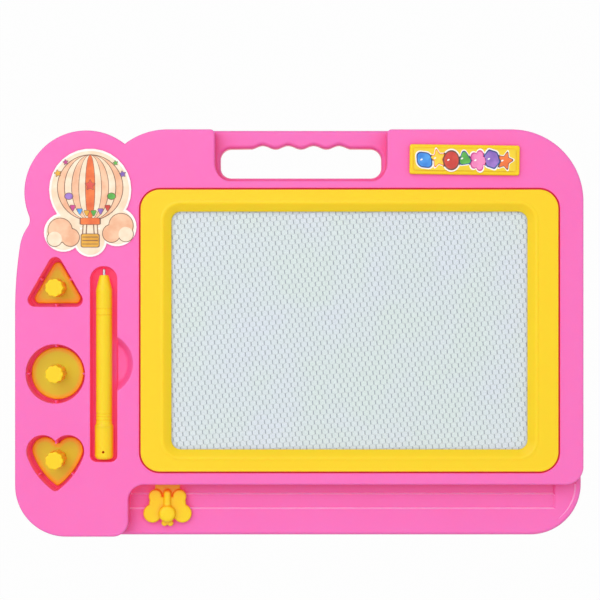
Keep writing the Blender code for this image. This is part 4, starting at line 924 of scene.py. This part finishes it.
def makePen():
    size = Values(radius=5.15, tailRadius=5.85, tailLength=20.6, flare=2.4, tailRounding=2.6,
            noseRadius=2.95, noseLength=9.1, tipRadius=1, tipLength=4.2, tipRoot=4.5, bore=3.4,
            ringDepth=0.22, ringWidth=0.8, noseRings=11.7, noseRingPitch=4, tailRings=1.7, tailRingPitch=2,
            holeRadius=0.8, holeInset=4.9, spigot=9, mouth=0.4, chamfer=0.35, capGap=0.1, holeReach=8,
            flareShare=0.8)
    gap = case.gap
    radius, tail, tip = size.radius, size.tailRadius, size.tipRadius
    length = penTipY - penTailY
    noseEnd = size.tipLength + size.noseLength
    capStart = length - size.tailLength
    tailStart = capStart - size.flare
    chamfer = size.chamfer
    mouth = (tip + gap, size.tipLength + size.mouth)
    # the nose is a cone with a small chamfer at its end, which eases into the barrel
    profile = [mouth, (tip + 2 * chamfer, size.tipLength), (size.noseRadius - chamfer, size.tipLength),
            (size.noseRadius, size.tipLength + chamfer)]
    profile += [(radius - inward, noseEnd + along)
            for inward, along in ((0.25, -0.8), (0.05, -0.1), (0, 0.6))]
    rings = [noseEnd + size.noseRings + size.noseRingPitch * index for index in range(2)]
    last = tailStart - size.tailRings - 2 * size.tailRingPitch - size.ringWidth
    rings += [last + size.tailRingPitch * index for index in range(3)]
    for start in rings:
        for share, depth in ((0, 0), (0.25, 0.6), (0.5, 1), (0.75, 0.6), (1, 0)):
            profile.append((radius - size.ringDepth * depth, start + size.ringWidth * share))
    for share in (0, 0.25, 0.5, 0.75, 1):
        ease = (1 - cos(pi * share)) / 2
        profile.append((radius + (tail - radius) * ease, tailStart + size.flare * size.flareShare * share))
    inside = size.tipLength + size.tipRoot + 2 * gap
    profile += [(tail, capStart - gap / 2), (size.bore, capStart - gap / 2), (size.bore, inside + size.bore),
            (tip + gap, inside), mouth]

    def laid(points):
        return moved(turned([(r, -along) for r, along in points], (0, 1, 0)), penX, penTipY, penZ)

    finishPiece("penBarrel", laid(profile), "pen", [yellowAbs], ["pen_barrel"])
    spigot, capEnd = size.bore - gap, capStart - size.capGap
    cap = [(0, capStart - size.spigot), (spigot, capStart - size.spigot), (spigot, capEnd), (tail, capEnd)]
    cap += [(tail - size.tailRounding * (1 - cos(turn)), length - size.tailRounding * (1 - sin(turn)))
            for turn in quarterTurns(10)]
    cap.append((0, length))
    hole = prism(circleStrokes(penX, penTailY + size.holeInset, size.holeRadius), penZ - size.holeReach,
            penZ + size.holeReach)
    finishPiece("penTailCap", combined(laid(cap), (cut, hole)), "pen", [yellowAbs],
                ["pen_tail_cap"])
    root = size.tipLength + size.tipRoot
    pin = [(tip * sin(turn), tip * (1 - cos(turn))) for turn in quarterTurns(8)]
    finishPiece("penTip", laid([*pin, (tip, root), (0, root)]), "pen", [steel], ["pen_tip_pin"])


makePen()


def makeStamps():
    gap, soft, rounding = stamp.gap, stamp.soft, stamp.plateRounding
    inset, fade = rounding + stamp.rimBand, stamp.fadeBand
    for name, y in (("triangle", triangleY), ("circle", circleY), ("heart", heartY)):
        outline = stampOutlines[name]
        low, high = boxOf(f"{name}_stamp")
        top = low.z + stamp.plateThickness
        edge = outline(-gap, soft)
        # The innermost loop is softer still, so that its corners don't cross.
        levels = [(edge, low.z), *eased(edge, top, rounding, 4), (grown(edge, -inset), top + hair),
                (outline(-gap - inset - fade, soft + fade * stamp.fadeSoft), top + 2 * hair)]
        plate = stack(levels, shades=[0] * (len(levels) - 1) + [1])
        lobes = lobedStrokes(stampX, y, stamp.lobeCentre, stamp.lobeBulge, stamp.lobeCount)
        rounded = [(lobes, stamp.knobBase), *eased(lobes, high.z, stamp.knobRounding, 5)]
        knob = stack(rounded, 12, [0] * len(rounded))
        finishPiece(f"{name}Stamp", combined(plate, (join, knob)), f"{name}_stamp_body",
                    [backedAbs], [f"{name}_stamp"])


makeStamps()


def makeEraserKnob():
    size = Values(lowerRadius=6, lowerReach=9.5, upperRadius=4.4, upperReach=7.7, upperRise=10.9,
            thickness=2.8, rounding=1.2, bodyRadius=5.4, bodyHeight=6.4, bodyRounding=2.4, stemHalf=2.35,
            stemHeight=4.8, stemRise=15.1, stemFlat=0.15, stemTopFlat=0.2, nubRadius=2, nubReach=1.9,
            nubDrop=6.2, webHalf=11.8, webLow=2.4, webHigh=10.6, webDrop=0.05, webRadius=3.8, tongueHalf=7.9,
            tongueReach=13, tongueThickness=1.8, voxel=0.36, relax=0.5, smoothing=5)
    low, high = boxOf("eraser_knob")
    x = (low.x + high.x) / 2
    y = low.y + size.nubDrop + size.nubRadius
    bottom = case.lipTop + case.gap
    top = bottom + size.thickness
    rounds = [(side * size[f"{part}Reach"], rise, size[f"{part}Radius"])
            for part, rise in (("lower", 0), ("upper", size.upperRise), ("nub", -size.nubDrop))
            for side in (-1, 1)]
    web = rectangleStrokes((x - size.webHalf, y + size.webLow), (x + size.webHalf, y + size.webHigh),
            size.webRadius)
    half = size.stemHalf
    stem = rectangleStrokes((x - half, y), (x + half, y + size.stemRise), half - size.stemFlat)
    tongue = box((x - size.tongueHalf, ledgeY - size.tongueReach, low.z),
            (x + size.tongueHalf, high.y, low.z + size.tongueThickness))
    knob = combined(
        tongue, *[(join, prism(circleStrokes(x + a, y + b, radius), bottom, top, size.rounding, 5, 8))
                  for a, b, radius in rounds],
        (join, prism(web, bottom, top - size.webDrop, size.rounding, 5, 8)),
        (join, prism(stem, bottom, bottom + size.stemHeight, half - size.stemTopFlat, 6, 8)),
        (join, prism(circleStrokes(x, y, size.bodyRadius), bottom, bottom + size.bodyHeight,
                     size.bodyRounding)))
    # A fine remesh and a few passes of smoothing melt the parts into one moulding.
    target = asObject(knob)
    remesh = target.modifiers.new("remesh", "REMESH")
    remesh.mode, remesh.voxel_size = "VOXEL", size.voxel
    relax = target.modifiers.new("relax", "SMOOTH")
    relax.factor, relax.iterations = size.relax, size.smoothing
    finishPiece("eraserKnob", evaluated(target), "eraser", [shadedAbs], ["eraser_knob"],
            60)


makeEraserKnob()
print("pen, stamps and eraser made")


def makeRearCover():
    size = Values(wellRadius=4.8, wellTop=4, wellRounding=0.4, headRadius=3.1, headTop=2.4, shankRadius=1.6,
            shankTop=5)
    wall = case.wall
    outline = grown(caseStrokes(), -wall - case.gap)

    def atScrews(part, bottom, *drawn):
        radius, top = size[f"{part}Radius"], size[f"{part}Top"]
        return gathered([prism(circleStrokes(x, y, radius), bottom, top, *drawn) for x, y in screwCentres])

    cover = combined(stack([*softened(outline, *case.coverEdgeBreak), (outline, wall)]),
                     (join, atScrews("well", wall / 2, size.wellRounding, 3, 6)),
                     (cut, prism(gripStrokes(wall + case.gap), -reach, wall + reach)),
                     (cut, atScrews("head", -reach, 0, 1, 6)), (cut, atScrews("shank", wall / 2, 0, 1, 12)))
    finishPiece("rearCover", cover, "board", [pinkAbs], ["rear_cover"])


makeRearCover()


def makeRearScrews():
    # a pan head that sits 0.5 mm sunk, with its shank up to the point
    profile = [(0, 0.5), (1.6, 0.55), (2.4, 0.8), (2.75, 1.2), (2.8, 1.7), (2.8, 2.1), (1.3, 2.1),
            (1.3, 6.3), (0.2, 7.6), (0, 7.6)]
    arm, half, depth = 1.7, 0.35, 1.5      # of the cross
    turn = 0.7
    cross = combined(box((-arm, -half, 0), (arm, half, depth)),
                     (join, box((-half, -arm, 0), (half, arm, depth))))
    master = combined(turned(profile, (0, 0, 1), 48), (cut, cross))
    for index, (x, y) in enumerate(screwCentres, 1):
        copy = moved(master.copy(), x, y, 0, turn * index)
        finishPiece(f"rearScrewPan{index}", copy, "board", [steel], [f"rear_screw_{index}"])


makeRearScrews()


# Printed shapes are thin layers of ink, each a little above the one below.
inkNames = list(inks)
layerHeight = 0.03


def inked(strokes, level, ink, stretch=(1, 1), place=(0, 0), angle=0):
    bm = prism(strokes, 0, layerHeight, 0, 1, 6)
    ops.scale(bm, vec=(*stretch, 1), verts=bm.verts)
    return painted(moved(bm, *place, level * layerHeight, angle), inkNames.index(ink))


def starStrokes(radius, points=5, waist=0.52):
    corners = []
    for index in range(2 * points):
        angle = quarter + pi * index / points
        length = radius * (waist if index % 2 else 1.08)
        corners.append((length * cos(angle), length * sin(angle), radius * 0.12))
    return roundedStrokes(corners)


def polygonStrokes(radius, sides, rounding=0.25):
    angles = [quarter + tau * index / sides for index in range(sides)]
    return roundedStrokes([(radius * cos(angle), radius * sin(angle), radius * rounding)
            for angle in angles])


def flowerStrokes(radius):
    return lobedStrokes(0, 0, radius * 0.6, radius * 0.42, 5)


def makeLabel():
    size = Values(width=69.6, depth=19, radius=1.5, rounding=1.2, tilt=radians(-0.8), pitch=8.5, shape=4.7,
            outline=0.8, halo=1.6, hop=0.5, stretch=(1, 1.22))
    high = boxOf("label_plate")[1]
    x, y, _ = middleOf("label_plate")
    plate = prism(barStrokes(size.width / 2, size.depth / 2, size.radius), faceTop, high.z, size.rounding)
    finishPiece("labelPlate", moved(plate, x, y, 0, size.tilt), "board", [yellowAbs],
            ["label_plate"])
    row = [("blue", "navy", lambda r: polygonStrokes(r * 1.15, 4, 0.5), quarter / 2),
            ("yellow", "orange", starStrokes, 0.2),
            ("red", "brown", lambda r: discStrokes(r * 0.95), 0),
            ("green", "navy", lambda r: polygonStrokes(r * 1.1, 3, 0.3), 0.15),
            ("pink", "magenta", flowerStrokes, 0),
            ("purple", "navy", lambda r: polygonStrokes(r, 6, 0.3), 0.3),
            ("orange", "brown", starStrokes, -0.25)]
    layers = []
    for index, (ink, dark, shape, angle) in enumerate(row):
        place = (size.pitch * (index - (len(row) - 1) / 2), size.hop * (1 if index % 2 else -1))
        for level, colour, extra in ((0, "white", size.halo), (1, dark, size.outline), (2, ink, 0)):
            layers.append(inked(shape(size.shape + extra), level, colour, size.stretch, place, angle))
        layers.append(inked(circleStrokes(-1.1, 1.3, 0.6), 3, "white", (1.4, 0.8), place, 0.5))
    prints = moved(gathered(layers), x, y, boxOf("label_sticker")[1].z, size.tilt)
    finishPiece("labelPrint", prints, "board", list(inks.values()))


makeLabel()


def makePicture():
    # A striped hot-air balloon over two clouds, with stars, on a cream ground inside a white border.
    size = Values(disc=26, rightReach=29.3, border=1.4, cloud=12.3, basket=10.5, envelope=20.5, line=0.45)
    high = boxOf("picture_sticker")[1]
    line, border, envelope = size.line, size.border, size.envelope
    plain, middle = (1, 1), (0, 1.5)
    layers = []

    def lay(*drawn):
        layers.append(inked(*drawn))

    def outlined(strokesOf, radius, level, ink, *laid):
        lay(strokesOf(radius + line), level, "brown", *laid)
        lay(strokesOf(radius), level + 1, ink, *laid)

    ground = [(0, 0, size.disc), (0, -32, size.basket), (-17, -27, size.cloud), (17, -23.5, size.cloud)]
    for index, (x, y, r) in enumerate(ground):
        lay(circleStrokes(x, y, r - border), 0.2 * index, "cream")
    for x, y, r, ink in ((-19, -25.5, 7.5, "peach"), (-12.5, -30, 5.5, "peach"), (-22.5, -31, 4.6, "cream"),
            (19.5, -22.5, 7.5, "peach"), (13.5, -27.5, 5.5, "peach"), (22.5, -28, 4.6, "cream")):
        lay(circleStrokes(x, y, r + line), 1, "brown")
        lay(circleStrokes(x, y, r), 2 + abs(x) / 100, ink)
    outlined(discStrokes, envelope, 3, "peach", plain, middle)
    for width, ink in ((0.78, "cream"), (0.56, "peach"), (0.34, "cream"), (0.14, "orange")):
        lay(discStrokes(envelope + line / 2), 5 + 2 * (1 - width), "brown", (width + 0.015, 1), middle)
        lay(discStrokes(envelope), 5.3 + 2 * (1 - width), ink, (width, 1), middle)
    # the skirt, the ropes and the basket with its weave
    outlined(lambda r: barStrokes(r, r, 1.2), 4, 8, "orange", (1.5, 0.5), (0, -19.8))
    for side in (-1, 1):
        for foot in (2.2, 4.4):
            lay(barStrokes(0.3, 3.6, 0.25), 7, "brown", plain, (side * foot * 1.05, -24.4), side * 0.06)
    outlined(lambda r: barStrokes(r, r, 1.3), 5, 8, "gold", (1.1, 0.8), (0, -32))
    for height in (-29.8, -32, -34.2):
        lay(barStrokes(5, 0.22, 0.2), 9.6, "brown", plain, (0, height))
    for x, y, r, ink in ((-20.5, 10.5, 2.2, "gold"), (-15.5, 17.5, 1.6, "magenta"), (20.5, 10, 2, "purple"),
            (16, 17, 1.5, "green")):
        outlined(starStrokes, r, 10, ink, plain, (x, y), 0.2)
    for side in (-1, 1):
        outlined(discStrokes, 2.4, 11, "green" if side > 0 else "purple", (1, 0.8), (side * 13.5, -4))
    outlined(starStrokes, 3.4, 11, "red", plain, (0, 3))
    for index, ink in enumerate(("magenta", "blue", "gold", "green", "purple", "red")):
        across = index - 2.5
        outlined(lambda r: polygonStrokes(r, 3), 2.3, 12, ink, (1, 1.15),
                (across * 4.4, across ** 2 * 0.55 - 14.5), pi)
    prints = moved(gathered(layers), high.x - size.rightReach, high.y - size.disc, high.z)
    finishPiece("picturePrint", prints, "board", list(inks.values()))


makePicture()
print("label and picture printed")

# What stays from the frame gets its finish here.
kept = {"screen_front_film": frontFilm, "screen_back_film": backFilm, "eraser_bar": yellowAbs,
        "eraser_magnet_strip": ferrite, "eraser_screw_1": steel, "eraser_screw_2": steel,
        "pen_magnet": ferrite, "triangle_stamp_magnet": ferrite, "circle_stamp_magnet": ferrite,
        "heart_stamp_magnet": ferrite, "label_sticker": inks["ground"], "picture_sticker": inks["white"]}
for name, finish in kept.items():
    for materialSlot in frame["nodes"][name].material_slots:
        materialSlot.material = finish


# Studio: pale floor, sky brightest overhead, one wide soft key from the upper left, camera straight above
studio = Values(floorSize=6, floorDrop=0.0001, floorShade="7A7A7A", floorGlow=0.985, skyLow=0.42,
        skyHigh=1.08, keyPlace=(-0.9, 1.0, 1.9), keySize=2, keyPower=18)


def seenShare(tree):
    # how much a surface shows plain white: to the camera, in reflections and through films
    rays = addNode(tree, "LightPath", {}).outputs
    share = rays["Is Camera Ray"]
    for kind in ("Is Glossy Ray", "Is Transmission Ray"):
        share = addNode(tree, "Math", {0: share, 1: rays[kind]}, operation="ADD", use_clamp=True)
    return addNode(tree, "Math", {0: share, 1: studio.floorGlow}, operation="MULTIPLY")


def makeStudio():
    bm = bmesh.new()
    ops.create_grid(bm, x_segments=1, y_segments=1, size=studio.floorSize / 2)
    ops.translate(bm, vec=(0, 0, -studio.floorDrop), verts=bm.verts)
    floor = asObject(bm, "floor")
    # paper that glows plain white where it is seen, and lights the board as grey paper does
    paper = bpy.data.materials.new("pale_floor_paper")
    paper.use_nodes = True
    tree = paper.node_tree
    shader = tree.nodes["Principled BSDF"]
    feed(shader, {"Base Color": studio.floorShade, "Roughness": 0.9})
    glow = addNode(tree, "Emission", {"Color": (1, 1, 1, 1), "Strength": 1})
    mixed = addNode(tree, "MixShader", {0: seenShare(tree), 1: shader, 2: glow})
    feed(tree.nodes["Material Output"], {"Surface": mixed})
    floor.data.materials.append(paper)
    world = bpy.data.worlds.new("soft_sky")
    world.use_nodes = True
    sky = world.node_tree
    place = addNode(sky, "TexCoord", {}).outputs["Generated"]
    way = addNode(sky, "SeparateXYZ", {"Vector": place})
    rise = addNode(sky, "MapRange", {"Value": way.outputs["Z"], "To Min": studio.skyLow,
            "To Max": studio.skyHigh})
    strength = addNode(sky, "MapRange", {"Value": seenShare(sky), "To Min": rise, "To Max": 1})
    feed(sky.nodes["Background"], {"Color": (1, 1, 1, 1), "Strength": strength})
    scene.world = world
    key = bpy.data.lights.new("key", "AREA")
    key.size = studio.keySize
    key.energy = studio.keyPower
    lamp = bpy.data.objects.new("key", key)
    lamp.location = studio.keyPlace
    lamp.rotation_euler = (-Vector(studio.keyPlace)).to_track_quat("-Z", "Y").to_euler()
    scene.collection.objects.link(lamp)


makeStudio()


def makeCamera():
    view = Values(x=0.47, y=20.9, distance=1200, frameWidth=379.6, sensor=36)
    lens = bpy.data.cameras.new("camera")
    lens.sensor_width = view.sensor
    lens.lens = view.sensor * view.distance / view.frameWidth
    lens.clip_end = 20
    camera = bpy.data.objects.new("camera", lens)
    camera.location = (view.x * mm, view.y * mm, (faceTop + view.distance) * mm)
    scene.collection.objects.link(camera)
    scene.camera = camera


makeCamera()
scene.view_settings.view_transform = "Standard"
print("studio and camera made")
